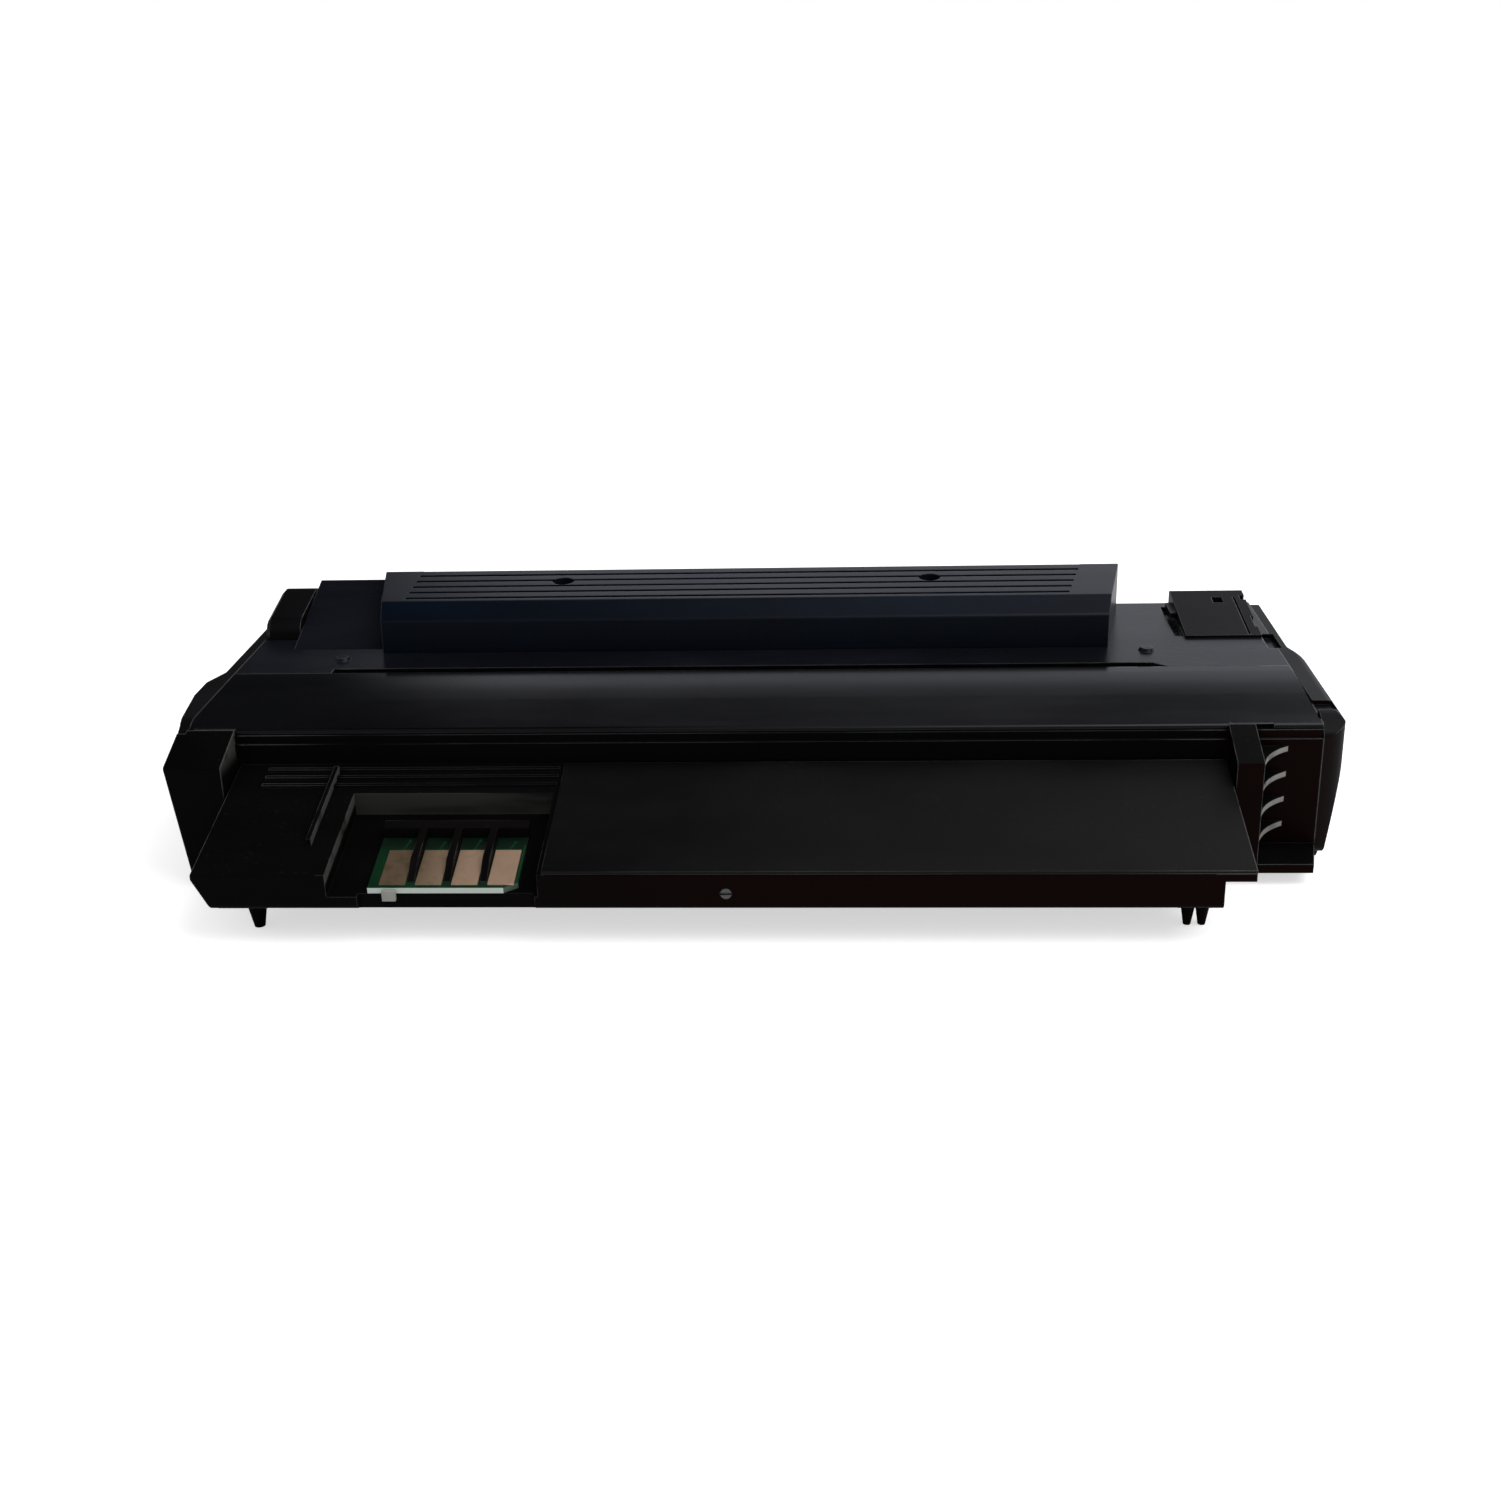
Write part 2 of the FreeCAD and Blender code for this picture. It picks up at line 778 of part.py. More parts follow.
def hopper_lid():
    """Top of the hopper, crowned, with a skirt along the slit."""
    nose = hopper_front + lid_nose_setback
    shell = prism_x(
        [
            (slit_front, body_top),
            (slit_front - lid_crown, body_top, lid_crown_radius),
            (nose, body_top - lid_nose_drop, lid_nose_radius),
            (nose, lid_seam),
            (slit_front - wall, lid_seam),
            (slit_front - wall, lid_skirt_end),
            (slit_front, lid_skirt_end),
        ],
        body_left,
        body_right,
    )
    length, depth, height = snap_slot
    cuts = []
    for x0 in (right_block[0] + 0.25 * wall, left_block[1] - length):
        cuts.append(block(x0, x0 + length, nose - 1, nose + depth, lid_seam - 1, lid_seam + height))
    for x in doctor_screw_x():
        cuts.append(screw_hole_y(x))
    return shell.cut(Part.makeCompound(cuts))


def tongue_plate():
    """Raised plate on the right part of the tongue."""
    section = sloped(front, hopper_front - plate_gap, 0, plate_rise)
    return prism_x(section, plate_left, tongue_right + tongue_flange)


def waste_top():
    """Top plate with the rear edge of the slit and the opening for the fingers."""
    plate = block(body_left, body_right, slit_back, back, deck, body_top)
    fingers = block(grip_left + wall, grip_right - wall, chamber_back, back + 1, deck - wall, body_top + 1)
    corner = [
        (slit_right, slit_back),
        (slit_right - slit_taper, slit_back + 0.01),
        (slit_right, slit_front),
        (body_right, slit_front),
        (body_right, slit_back + 0.01),
    ]
    return [
        plate.cut(fingers),
        prism_z(corner, deck, body_top),
        block(body_left, slit_left, slit_front, slit_back + 1, deck, body_top),
    ]


def waste_walls():
    """Guard wall, chamber floor and back, and the corner pods with their floors."""
    chamber = prism_x(
        [
            (waste_lip, body_floor),
            (chamber_back, body_floor, 1.25 * wall),
            (chamber_back, deck),
            (chamber_back - wall, deck),
            (chamber_back - wall, floor_top),
            (waste_lip, floor_top),
        ],
        body_left,
        body_right,
    )
    pieces = [chamber, block(-plate_inner, plate_inner, slit_back, slit_back + wall, guard_end, deck)]
    left_in = grip_left + wall
    right_in = grip_right - wall
    start = chamber_back - wall / 2
    for x0, x1, inner in ((body_left, left_in, left_in - wall), (right_in, body_right, right_in)):
        pieces.append(block(x0, x1, back - wall, back, body_floor, deck))
        pieces.append(block(inner, inner + wall, start, back, body_floor, deck))
        pieces.append(block(x0, x1, chamber_back - 1.5 * wall, back, body_floor, floor_top))
    return pieces


def waste_ledge():
    """Rail that carries the wiper bracket."""
    z = wiper_seat()
    return block(-plate_inner, plate_inner, wiper_back() - 3 * wall, chamber_back - wall, z - wall, z)


def wiper_seat():
    """Height of the rail's top, above the drum axis."""
    return drum_axis[1] + 0.7 * drum_radius


def wiper_back():
    """Depth of the wiper bracket's rear edge."""
    return drum_axis[0] + drum_radius + wiper_reach


def wiper_front():
    """Depth of the wiper bracket's front edge."""
    return drum_axis[0] + 1.32 * drum_radius


def waste_side_plate():
    """Right side plate of the rear unit, with its lower front corner cut away."""
    plate = block(plate_inner, plate_outer, slit_front, chamber_back - wall, floor_top, deck)
    corner_top = drum_axis[1] - 0.75 * drum_radius
    below = block(plate_inner - 1, plate_outer + 1, slit_front - 1, waste_lip, body_floor, corner_top)
    return plate.cut(below)


def ramp():
    """Raised shoulder between the domed cover and the grip, hollow behind."""
    y0 = back - ramp_depth
    top = body_top + ramp_rise
    right = grip_left - 0.25 * wall
    outer = prism_x([(y0, body_top), (back, top, wall), (back, body_top)], ramp_left, right)
    inner = prism_x(
        [(y0 + 4.5 * wall, body_top), (back - wall, top - 1.5 * wall), (back - wall, body_top)],
        ramp_left + wall,
        right - wall,
    )
    space = prism_z(grip_plan(-0.01), body_top - 1, top + 3 * wall)
    return outer.cut(inner).cut(space)


def grip_plan(inset):
    """Plan of the grip, flared towards the back."""
    return [
        (grip_left + inset, grip_front + inset),
        (grip_right - inset, grip_front + inset),
        (grip_right + grip_flare_right - inset, back - inset, 1.5 * wall),
        (grip_left - grip_flare_left + inset, back - inset, 1.5 * wall),
    ]


def knobs():
    """Two low knobs beside the slit."""
    places = (
        (slit_left + 0.2 * wall, slit_back + 3.75 * wall),
        (slit_right - 2 * wall, slit_back + 5 * wall),
    )
    return [
        Part.makeCone(knob_radius, knob_tip, knob_height, FreeCAD.Vector(x, y, body_top))
        for x, y in places
    ]


def waste_housing():
    """Rear moulding with slit edge, waste chamber and corner pods."""
    up = FreeCAD.Vector(0, 0, 1)
    post_floor = body_top - post_height
    plate = waste_side_plate()
    stud_solids, holes = studs(rear_boss)
    pieces = waste_top() + waste_walls() + stud_solids + knobs()
    pieces += [waste_ledge(), plate, mirrored(plate), ramp()]
    for x in grip_screws:
        foot = FreeCAD.Vector(x, grip_screw_y, post_floor)
        pieces.append(Part.makeCylinder(post_radius, post_height, foot))
        x0 = x - post_radius
        pieces.append(
            block(x0, x0 + 2 * post_radius, chamber_back - 1, grip_screw_y, post_floor, body_top)
        )
        holes.append(regular(foot + up * (1.5 * wall), up, screw_radius, post_height - 1.5 * wall))
    for inner in (plate_inner, -plate_outer):
        holes.append(rod(drum_axis, drum_hub_radius + hub_clearance, inner - 1, inner + wall + 1))
    slot_floor = body_top - slot_depth
    slot_right = contact_left - 0.1 * wall
    slot_left = slot_right - 1.3 * wall
    slot_front = contact_front + 0.8 * wall
    holes.append(block(slot_left, slot_right, slot_front, back - 2 * wall, slot_floor, body_top + 1))
    holes.append(rear_notch())
    return join(pieces).cut(Part.makeCompound(holes))


def rear_notch():
    """Shallow notch in the top, across the seam of the right cap."""
    y0 = contact_front - 4.65 * wall
    x0 = contact_right
    return block(x0, x0 + 1.75 * wall, y0, y0 + 6 * wall, body_top - slot_depth, body_top + 1)


def grip_section(skin):
    """Section of the grip's outer form, or of its hollow when skin is its wall."""
    top = body_top + grip_top_rise - skin
    wall_top = (grip_front + grip_lean + skin, body_top + grip_wall_rise - 0.6 * skin)
    brow = (grip_brow_y + 0.3 * skin, body_top + grip_brow_rise - skin)
    if skin:
        return [(grip_front + skin, body_top), wall_top, brow, (back - skin, top), (back - skin, body_top)]
    return [
        (grip_front, body_top),
        wall_top + (0.75 * wall,),
        brow + (2 * wall,),
        (back, top, 1.5 * wall),
        (back, body_top),
    ]


def handle_cover():
    """Ribbed grip, a shell that stands on the waste housing."""
    x0 = grip_left - grip_flare_left
    x1 = grip_right + grip_flare_right
    ceiling = body_top + grip_top_rise + 1
    solid = prism_x(grip_section(0), x0, x1).common(prism_z(grip_plan(0), body_top, ceiling))
    hollow = prism_x(grip_section(wall), x0, x1)
    hollow = hollow.common(prism_z(grip_plan(wall), body_top - 1, ceiling))
    up = FreeCAD.Vector(0, 0, 1)
    top = grip_height(grip_screw_y)
    bosses = []
    cuts = []
    for x in grip_screws:
        base = FreeCAD.Vector(x, grip_screw_y, body_top)
        bosses.append(Part.makeCylinder(post_radius, top - body_top - wall / 2, base))
        cuts.append(regular(base, up, screw_radius, grip_top_rise))
        head = FreeCAD.Vector(x, grip_screw_y, top - head_recess)
        cuts.append(Part.makeCylinder(screw_head_radius + layer_gap, 2 * head_recess, head))
    for i in range(groove_count):
        y0 = grip_brow_y + wall + i * groove_pitch
        y1 = y0 + groove_width
        stop = grip_right - groove_inset_right + (y0 - grip_brow_y) * groove_slant
        section = [
            (y0, grip_height(y0) + 1),
            (y0, grip_height(y0) - groove_depth),
            (y1, grip_height(y1) - groove_depth),
            (y1, grip_height(y1) + 1),
        ]
        cuts.append(prism_x(section, grip_left + groove_inset_left, stop))
    return join([solid.cut(hollow)] + bosses).cut(Part.makeCompound(cuts))


def handle_screws():
    """Two cross-head screws of the grip."""
    solids = []
    up = FreeCAD.Vector(0, 0, 1)
    for x in grip_screws:
        head_z = grip_height(grip_screw_y) - head_recess
        foot_z = body_top - post_height + 1.5 * wall
        shank = regular(FreeCAD.Vector(x, grip_screw_y, foot_z), up, screw_radius, head_z - foot_z)
        head = Part.makeCone(
            screw_head_radius,
            0.8 * screw_head_radius,
            screw_head_height,
            FreeCAD.Vector(x, grip_screw_y, head_z),
        )
        cross = cross_slot(x, grip_screw_y, head_z + screw_head_height)
        solids.append(shank.fuse(head).cut(cross))
    return Part.makeCompound(solids)


def cross_slot(x, y, z):
    """Cross recess of a screw head."""
    reach = screw_radius
    half = 0.12 * screw_head_radius
    depth = 0.5 * screw_head_height
    first = block(x - reach, x + reach, y - half, y + half, z - depth, z + 1)
    second = block(x - half, x + half, y - reach, y + reach, z - depth, z + 1)
    return first.fuse(second)


def gear_cover():
    """Domed cover at the rear left corner."""
    y0 = back - dome_depth
    shoulder = body_top + dome_shoulder_rise
    top = body_top + dome_rise
    outer = prism_x(
        [
            (y0, body_top),
            (y0 + 1.0, shoulder, 2.5 * wall),
            (back - 0.75 * wall, top, 2.5 * wall),
            (back - 0.25 * wall, body_top),
        ],
        body_left,
        dome_right,
    )
    inner = prism_x(
        [
            (y0 + 1.3 * dome_wall, body_top),
            (y0 + 1.9 * dome_wall, shoulder - 0.9 * dome_wall),
            (back - 2.2 * dome_wall, top - 1.1 * dome_wall),
            (back - 1.7 * dome_wall, body_top),
        ],
        body_left + dome_wall,
        dome_right - dome_wall,
    )
    rim = [e for e in outer.Edges if abs(e.BoundBox.XMin - body_left) < 0.01 and e.BoundBox.XLength < 0.01]
    rim = [e for e in rim if e.BoundBox.ZMax > body_top + 1]
    return outer.makeChamfer(0.6 * wall, rim).cut(inner)


def contact_height(y):
    """Height of the contact cover's top at a depth y."""
    share = (y - contact_front) / (contact_back - contact_front)
    return body_top + contact_rise_front + share * (contact_rise_back - contact_rise_front)


def contact_cover():
    """Slotted wedge over the contacts at the rear right corner."""
    outer = prism_x(
        [
            (contact_front, body_top),
            (contact_front, contact_height(contact_front)),
            (contact_back, contact_height(contact_back), 0.5 * wall),
            (contact_back, body_top),
        ],
        contact_left,
        contact_right,
    )
    hollow_front = contact_front + 0.5 * contact_depth
    hollow_back = contact_back - contact_wall
    hollow = prism_x(
        [
            (hollow_front, body_top),
            (hollow_front, contact_height(hollow_front) - contact_wall),
            (hollow_back, contact_height(hollow_back) - contact_wall),
            (hollow_back, body_top),
        ],
        contact_left + wall,
        contact_right - 2 * wall,
    )
    overhang, width, setback, depth = hook
    hook_back = contact_back - setback
    arm = block(
        contact_left - overhang,
        contact_left - overhang + width,
        hook_back - depth,
        hook_back,
        body_top + 0.2 * wall,
        body_top + wall,
    )
    ceiling = body_top + 2 * contact_rise_back
    rail_x = contact_right - 1.75 * wall
    groove = 0.3 * wall
    y0 = contact_front + groove
    y1 = back - 3 * wall
    cuts = [
        prism_x(
            [
                (y0, contact_height(y0) - groove),
                (y1, contact_height(y1) - groove),
                (y1, ceiling),
                (y0, ceiling),
            ],
            rail_x,
            rail_x + groove,
        ),
        block(contact_left + 5.6 * wall, rail_x - 1.6 * wall, y1 - 2 * wall, y1, body_top + wall, ceiling),
        block(rail_x + wall, contact_right + 1, y1 - wall, y1 + 0.5 * wall, body_top + wall, ceiling),
        block(contact_right - 0.4 * wall, contact_right + 1, y0 + 2.5 * wall, y0 + 6 * wall, body_top, ceiling),
    ]
    return outer.cut(hollow).fuse(arm).cut(Part.makeCompound(cuts)).removeSplitter()


def cap_outline():
    """Side view of an end cap; the two feet reach the resting surface."""
    foot_front = hopper_front + 2 * wall
    foot_rear = back - foot_span - 3 * wall
    base = foot_height
    slant = 0.5 * wall
    return [
        (hopper_front, base, 1.5 * wall),
        (hopper_front, body_top - 1.65 * wall, 1.25 * wall),
        (hopper_front + 3 * wall, body_top, 4.5 * wall),
        (back, body_top, 1.5 * wall),
        (back, base, 1.5 * wall),
        (foot_rear + foot_span, base),
        (foot_rear + foot_span - slant, 0),
        (foot_rear + slant, 0),
        (foot_rear, base),
        (foot_front + foot_span, base),
        (foot_front + foot_span - slant, 0),
        (foot_front + slant, 0),
        (foot_front, base),
    ]


def right_end_cap():
    """End cap, rounded in front and above, tapered inwards below and stepped in behind the drum."""
    step_start = drum_axis[0] - 1.5 * wall
    plan = prism_z(
        [
            (body_right, hopper_front),
            (cap_outer, hopper_front, 2.5 * wall),
            (cap_outer, step_start, 3 * wall),
            (rear_outer, step_start + 5.5 * wall, 3 * wall),
            (rear_outer, back),
            (body_right, back),
        ],
        0,
        body_top,
    )
    section = prism_y(
        [
            (body_right, 0),
            (cap_outer - cap_lean, 0),
            (cap_outer, cap_lean_height),
            (cap_outer, body_top, 1.25 * wall),
            (body_right, body_top),
        ],
        front,
        back,
    )
    boss = rod(drum_axis, 2 * shaft_radius, body_right, cap_outer)
    cap = prism_x(cap_outline(), body_right, cap_outer).common(plan).common(section).fuse(boss)
    top_notch = block(
        body_right - 1,
        cap_outer - 0.55 * wall,
        hopper_front + 4.1 * wall,
        hopper_front + 7.25 * wall,
        body_top - 0.6 * wall,
        body_top + 1,
    )
    pocket = block(
        body_right - 1,
        body_right + cap_thickness - 1.5 * wall,
        hopper_front + 2.5 * wall,
        developer_axis[0] + developer_radius,
        lid_seam / 2,
        lid_seam - 1.5 * wall,
    )
    cuts = [top_notch, pocket, rear_notch(), rod(drum_axis, shaft_radius, body_right - 1, cap_outer + 1)]
    for axis, outer in ((front_boss, cap_outer - cap_lean), (rear_boss, rear_outer)):
        seat = outer - screw_head_height
        cuts.append(regular_x(axis, screw_radius, body_right - 1, seat + 0.1))
        cuts.append(rod(axis, screw_head_radius + layer_gap, seat, cap_outer + 1))
    return cap.removeSplitter().cut(Part.makeCompound(cuts))


def left_end_cap():
    """End cap over the gear train, thin behind and swollen beside the hopper."""
    swollen = left_outer - cap_swell
    plan = prism_z(
        [
            (body_left, hopper_front),
            (left_outer, hopper_front),
            (left_outer, hopper_front + 2 * wall),
            (swollen, slit_front - 8.25 * wall),
            (swollen, slit_front - 3.25 * wall, wall),
            (left_outer, slit_front + 0.75 * wall, wall),
            (left_outer, back),
            (body_left, back),
        ],
        0,
        body_top,
    )
    cap = prism_x(cap_outline(), swollen, body_left).common(plan)
    cuts = [rod(drum_axis, shaft_radius, swollen - 1, body_left + 1)]
    for axis in (front_boss, rear_boss):
        seat = left_outer + screw_head_height
        cuts.append(regular_x(axis, screw_radius, seat - 0.1, body_left + 1))
        cuts.append(rod(axis, screw_head_radius + layer_gap, swollen - 1, seat))
    return cap.cut(Part.makeCompound(cuts))


def cap_screws():
    """Screws of the two end caps."""
    height = 0.8 * screw_head_height
    solids = []
    for axis, outer in ((front_boss, cap_outer - cap_lean), (rear_boss, rear_outer)):
        seat = outer - screw_head_height
        shank = regular_x(axis, screw_radius, body_right - screw_bite, seat)
        solids.append(shank.fuse(rod(axis, screw_head_radius, seat, seat + height)))
        seat = left_outer + screw_head_height
        shank = regular_x(axis, screw_radius, seat, body_left + screw_bite)
        solids.append(shank.fuse(rod(axis, screw_head_radius, seat - height, seat)))
    return Part.makeCompound(solids)


def drum_tube():
    """Coated aluminium drum."""
    return tube(drum_axis, drum_radius, drum_radius - tube_thickness, -half_drum, half_drum)


def drum_gear():
    """Left drum flange with the driven gear."""
    end = -half_drum
    plug = rod(drum_axis, drum_radius - tube_thickness, end, end + flange_plug_length)
    hub = rod(drum_axis, drum_hub_radius, gear_face, end)
    teeth = gear(drum_teeth, drum_axis, drum_phase, gear_end, gear_face)
    bore = rod(drum_axis, shaft_radius + running_gap, gear_end - 1, end + 2 * flange_plug_length)
    return join([plug, hub, teeth]).cut(bore)


def drum_flange():
    """Right drum flange."""
    end = half_drum
    outer = plate_outer + gear_clearance
    plug = rod(drum_axis, drum_radius - tube_thickness, end - flange_plug_length, end)
    hub = rod(drum_axis, drum_hub_radius, end, outer)
    bore = rod(drum_axis, shaft_radius + running_gap, end - 2 * flange_plug_length, outer + 1)
    return plug.fuse(hub).removeSplitter().cut(bore)


def drum_shaft():
    """Fixed steel shaft; its chamfered ends locate the cartridge."""
    reach = cap_outer + pin_reach
    shaft = rod(drum_axis, shaft_radius, -cap_outer, cap_outer)
    shaft = shaft.fuse(rod(drum_axis, pin_radius, -reach, reach)).removeSplitter()
    ends = [e for e in shaft.Edges if abs(abs(e.BoundBox.XMin) - reach) < 0.01 and e.BoundBox.XLength < 0.01]
    return shaft.makeChamfer(pin_chamfer, ends)


def developer_gear():
    """Gear on the developer roller's shaft."""
    teeth = gear(developer_teeth, developer_axis, developer_phase, gear_face - gear_layer, gear_face)
    return teeth.cut(rod(developer_axis, shaft_radius, gear_end, gear_face + 1))


def idler_gear():
    """Loose gear between the developer and supply gears."""
    teeth = gear(idler_teeth, idler_axis, idler_phase, gear_face - 2 * gear_layer, gear_face)
    return teeth.cut(rod(idler_axis, idler_post_radius + running_gap, gear_end, gear_face + 1))


def supply_gear():
    """Gear on the supply roller's shaft, wide enough for two mates."""
    x1 = gear_face - gear_layer - layer_gap
    teeth = gear(supply_teeth, supply_axis, supply_phase, gear_end, x1)
    return teeth.cut(rod(supply_axis, small_shaft_radius, gear_end - 1, x1 + 1))


def agitator_gear():
    """Gear on the agitator's shaft."""
    x1 = gear_end + gear_layer - 1.5 * layer_gap
    teeth = gear(agitator_teeth, agitator_axis, agitator_phase, gear_end, x1)
    return teeth.cut(rod(agitator_axis, journal_radius, gear_end - 1, x1 + 1))


def agitator_shaft():
    """Stirring shaft with arms and a blade bar."""
    y, z = agitator_axis
    shaft = rod(agitator_axis, small_shaft_radius, -plate_outer, plate_outer)
    journal = rod(agitator_axis, journal_radius, gear_end, -plate_outer)
    pieces = [shaft, journal]
    arm_count = 9
    half = half_supply - 3 * wall
    thin = 0.45 * wall
    bar_z = z - agitator_sweep + 2 * layer_gap
    for i in range(arm_count):
        x = -half + 2 * half * i / (arm_count - 1)
        pieces.append(block(x - thin, x + thin, y - thin, y + thin, bar_z, z))
    pieces.append(block(-half - thin, half + thin, y - thin, y + thin, bar_z, bar_z + 2 * thin))
    return join(pieces)


def agitator_film():
    """Thin flexible sheet on the blade bar."""
    y, z = agitator_axis
    half = half_supply - 3 * wall
    face = y + 0.45 * wall
    low = z - agitator_sweep + layer_gap
    return block(-half, half, face, face + layer_gap, low, low + 1.7 * wall)


def pair(make):
    """The same piece at both ends, as two solids."""
    right = make()
    return Part.makeCompound([right, mirrored(right)])


def bush(axis, radius, bore):
    """Eight-sided flanged bush in the right side plate."""
    sleeve = regular_x(axis, radius, plate_inner, plate_outer, 8)
    collar = regular_x(axis, radius + bush_collar, plate_inner - bush_flange, plate_inner, 8)
    hole = rod(axis, bore + running_gap, plate_inner - 2 * bush_flange, plate_outer + 1)
    return sleeve.fuse(collar).cut(hole)


def end_seal():
    """Felt pad that closes the gap below the right end of the developer roller."""
    x0 = plate_inner - seal_width
    y1 = trough_back - wall
    top = developer_axis[1] - 1.5 * wall
    pad = block(x0, plate_inner, y1 - seal_depth, y1, floor_top, top)
    roller = rod(developer_axis, bush_radius + 1.5 * bush_collar, x0 - 1, plate_inner + 1)
    supply = rod(supply_axis, supply_radius + roller_gap, x0 - 1, plate_inner + 1)
    return pad.cut(roller).cut(supply)


def charge_holder():
    """Snap block that carries the right end of the charge roller."""
    y, z = charge_axis
    half = small_shaft_radius + holder_wall
    x0 = half_charge + holder_gap
    x1 = x0 + holder_width
    body = block(x0, x1, y - half, y + half, z - half + 0.5 * wall, z + half)
    guide = block(x1, plate_inner, y - holder_gap, y + holder_gap, z - 0.5 * wall, z + half)
    bore = rod(charge_axis, small_shaft_radius + running_gap, x0 - 1, x1)
    return body.fuse(guide).removeSplitter().cut(bore)


def charge_spring():
    """Pressure spring between the right holder and the top of the housing."""
    y, z = charge_axis
    low = z + small_shaft_radius + holder_wall
    steps = 7
    count = int(coil_turns * steps)
    x = half_charge + holder_gap + holder_width / 2
    rise = deck - low - 2 * wire_radius
    points = []
    for i in range(count + 1):
        turn = 2 * math.pi * i / steps
        level = low + wire_radius + rise * i / count
        points.append(FreeCAD.Vector(x + coil_radius * math.sin(turn), y + coil_radius * math.cos(turn), level))
    section = Part.makePolygon(ring(points[0], points[1] - points[0], wire_radius))
    return Part.makePolygon(points).makePipeShell([section], True, False, 1)


def ring(centre, along, radius):
    """Corners of a four-sided section square to a direction, lying flat."""
    level = FreeCAD.Vector(0, 0, 1).cross(along).normalize()
    upright = along.cross(level).normalize()
    corners = []
    for k in (0, 1, 2, 3, 0):
        turn = math.pi * (2 * k + 1) / 4
        corners.append(centre + level * (radius * math.cos(turn)) + upright * (radius * math.sin(turn)))
    return corners


def doctor_screw_x():
    """Places along X of the doctor bracket's screws."""
    reach = half_developer - 3 * wall
    return (-reach, reach)


def doctor_face():
    """Depth of the skirt face that the doctor bracket lies on."""
    return slit_front - wall


def doctor_foot():
    """Height of the underside of the doctor bracket's foot."""
    return developer_axis[1] + developer_radius + doctor_gap


def doctor_front():
    """Depth of the front edge of the doctor bracket's foot."""
    return developer_axis[0] + 0.4 * wall


def screw_hole_y(x):
    """Hole of a bracket screw in the lid's skirt."""
    start = FreeCAD.Vector(x, doctor_face() - 1, doctor_foot() + blade_setback)
    return regular(start, FreeCAD.Vector(0, 1, 0), screw_radius, wall)


def doctor_bracket():
    """Folded steel angle on the skirt, above the developer roller."""
    face = doctor_face()
    foot = doctor_foot()
    t = blade_thickness
    angle = prism_x(
        [
            (doctor_front(), foot),
            (face, foot, 1.6 * t),
            (face, foot + bracket_height),
            (face - t, foot + bracket_height),
            (face - t, foot + t, 0.6 * t),
            (doctor_front(), foot + t),
        ],
        -half_developer,
        half_developer,
    )
    holes = []
    for x in doctor_screw_x():
        start = FreeCAD.Vector(x, face - 2 * t, foot + blade_setback)
        holes.append(regular(start, FreeCAD.Vector(0, 1, 0), screw_radius, 3 * t))
    return angle.cut(Part.makeCompound(holes))


def doctor_blade():
    """Strip that levels the toner on the developer roller."""
    y = doctor_front()
    tip = developer_axis[1] + developer_radius + roller_gap + 2 * running_gap
    t = 2 * blade_thickness / 3
    half = half_developer - wall
    return prism_x([(y, doctor_foot()), (y, tip), (y + t, tip), (y + t, doctor_foot())], -half, half)


def wiper_bracket():
    """Folded steel angle that lies on the rail."""
    z = wiper_seat()
    t = blade_thickness
    y1 = wiper_back()
    half = half_drum - 2 * wall
    angle = prism_x(
        [
            (wiper_front(), z),
            (y1, z),
            (y1, z + wiper_fold),
            (y1 - t, z + wiper_fold),
            (y1 - t, z + t, 0.6 * t),
            (wiper_front(), z + t),
        ],
        -half,
        half,
    )
    holes = []
    for x in wiper_screw_x():
        start = FreeCAD.Vector(x, y1 - blade_setback, z - 1)
        holes.append(regular(start, FreeCAD.Vector(0, 0, 1), screw_radius, 3 * t))
    return angle.cut(Part.makeCompound(holes))


def wiper_screw_x():
    """Places along X of the wiper bracket's screws."""
    reach = half_drum - 5 * wall
    return (-reach, reach)


def wiper_blade():
    """Elastic lip that scrapes the drum clean."""
    z = wiper_seat()
    y0 = wiper_front()
    tip = polar(drum_axis, drum_radius + roller_gap + running_gap, 20.0)
    half = half_drum - 2 * wall
    thick = 0.9 * wall
    return prism_x([(y0, z), (y0 + thick, z), (tip[0] + thick, tip[1] - 0.1 * wall), tip], -half, half)


def blade_screws():
    """Hexagon-head screws of the doctor and wiper brackets."""
    solids = []
    t = blade_thickness
    sideways = FreeCAD.Vector(0, 1, 0)
    up = FreeCAD.Vector(0, 0, 1)
    for x in doctor_screw_x():
        seat = FreeCAD.Vector(x, doctor_face() - t, doctor_foot() + blade_setback)
        shank = regular(seat, sideways, screw_radius, t + wall / 2)
        head = regular(seat - sideways * screw_head_height, sideways, screw_head_radius, screw_head_height)
        solids.append(shank.fuse(head))
    for x in wiper_screw_x():
        seat = FreeCAD.Vector(x, wiper_back() - blade_setback, wiper_seat() + t)
        shank = regular(seat - up * t, up, screw_radius, t)
        head = regular(seat, up, screw_head_radius, screw_head_height)
        solids.append(shank.fuse(head))
    return Part.makeCompound(solids)


def toner_plug():
    """Stopper of the filling hole in the right side plate."""
    height, thickness, length = plug_grip
    y, z = plug_axis
    rim_end = plate_outer + plug_rim
    stem = rod(plug_axis, plug_radius, plate_inner, plate_outer)
    rim = rod(plug_axis, plug_radius + plug_rim, plate_outer, rim_end)
    half = thickness / 2
    fin = block(rim_end, rim_end + height, y - half, y + half, z - length / 2, z + length / 2)
    return join([stem, rim, fin])


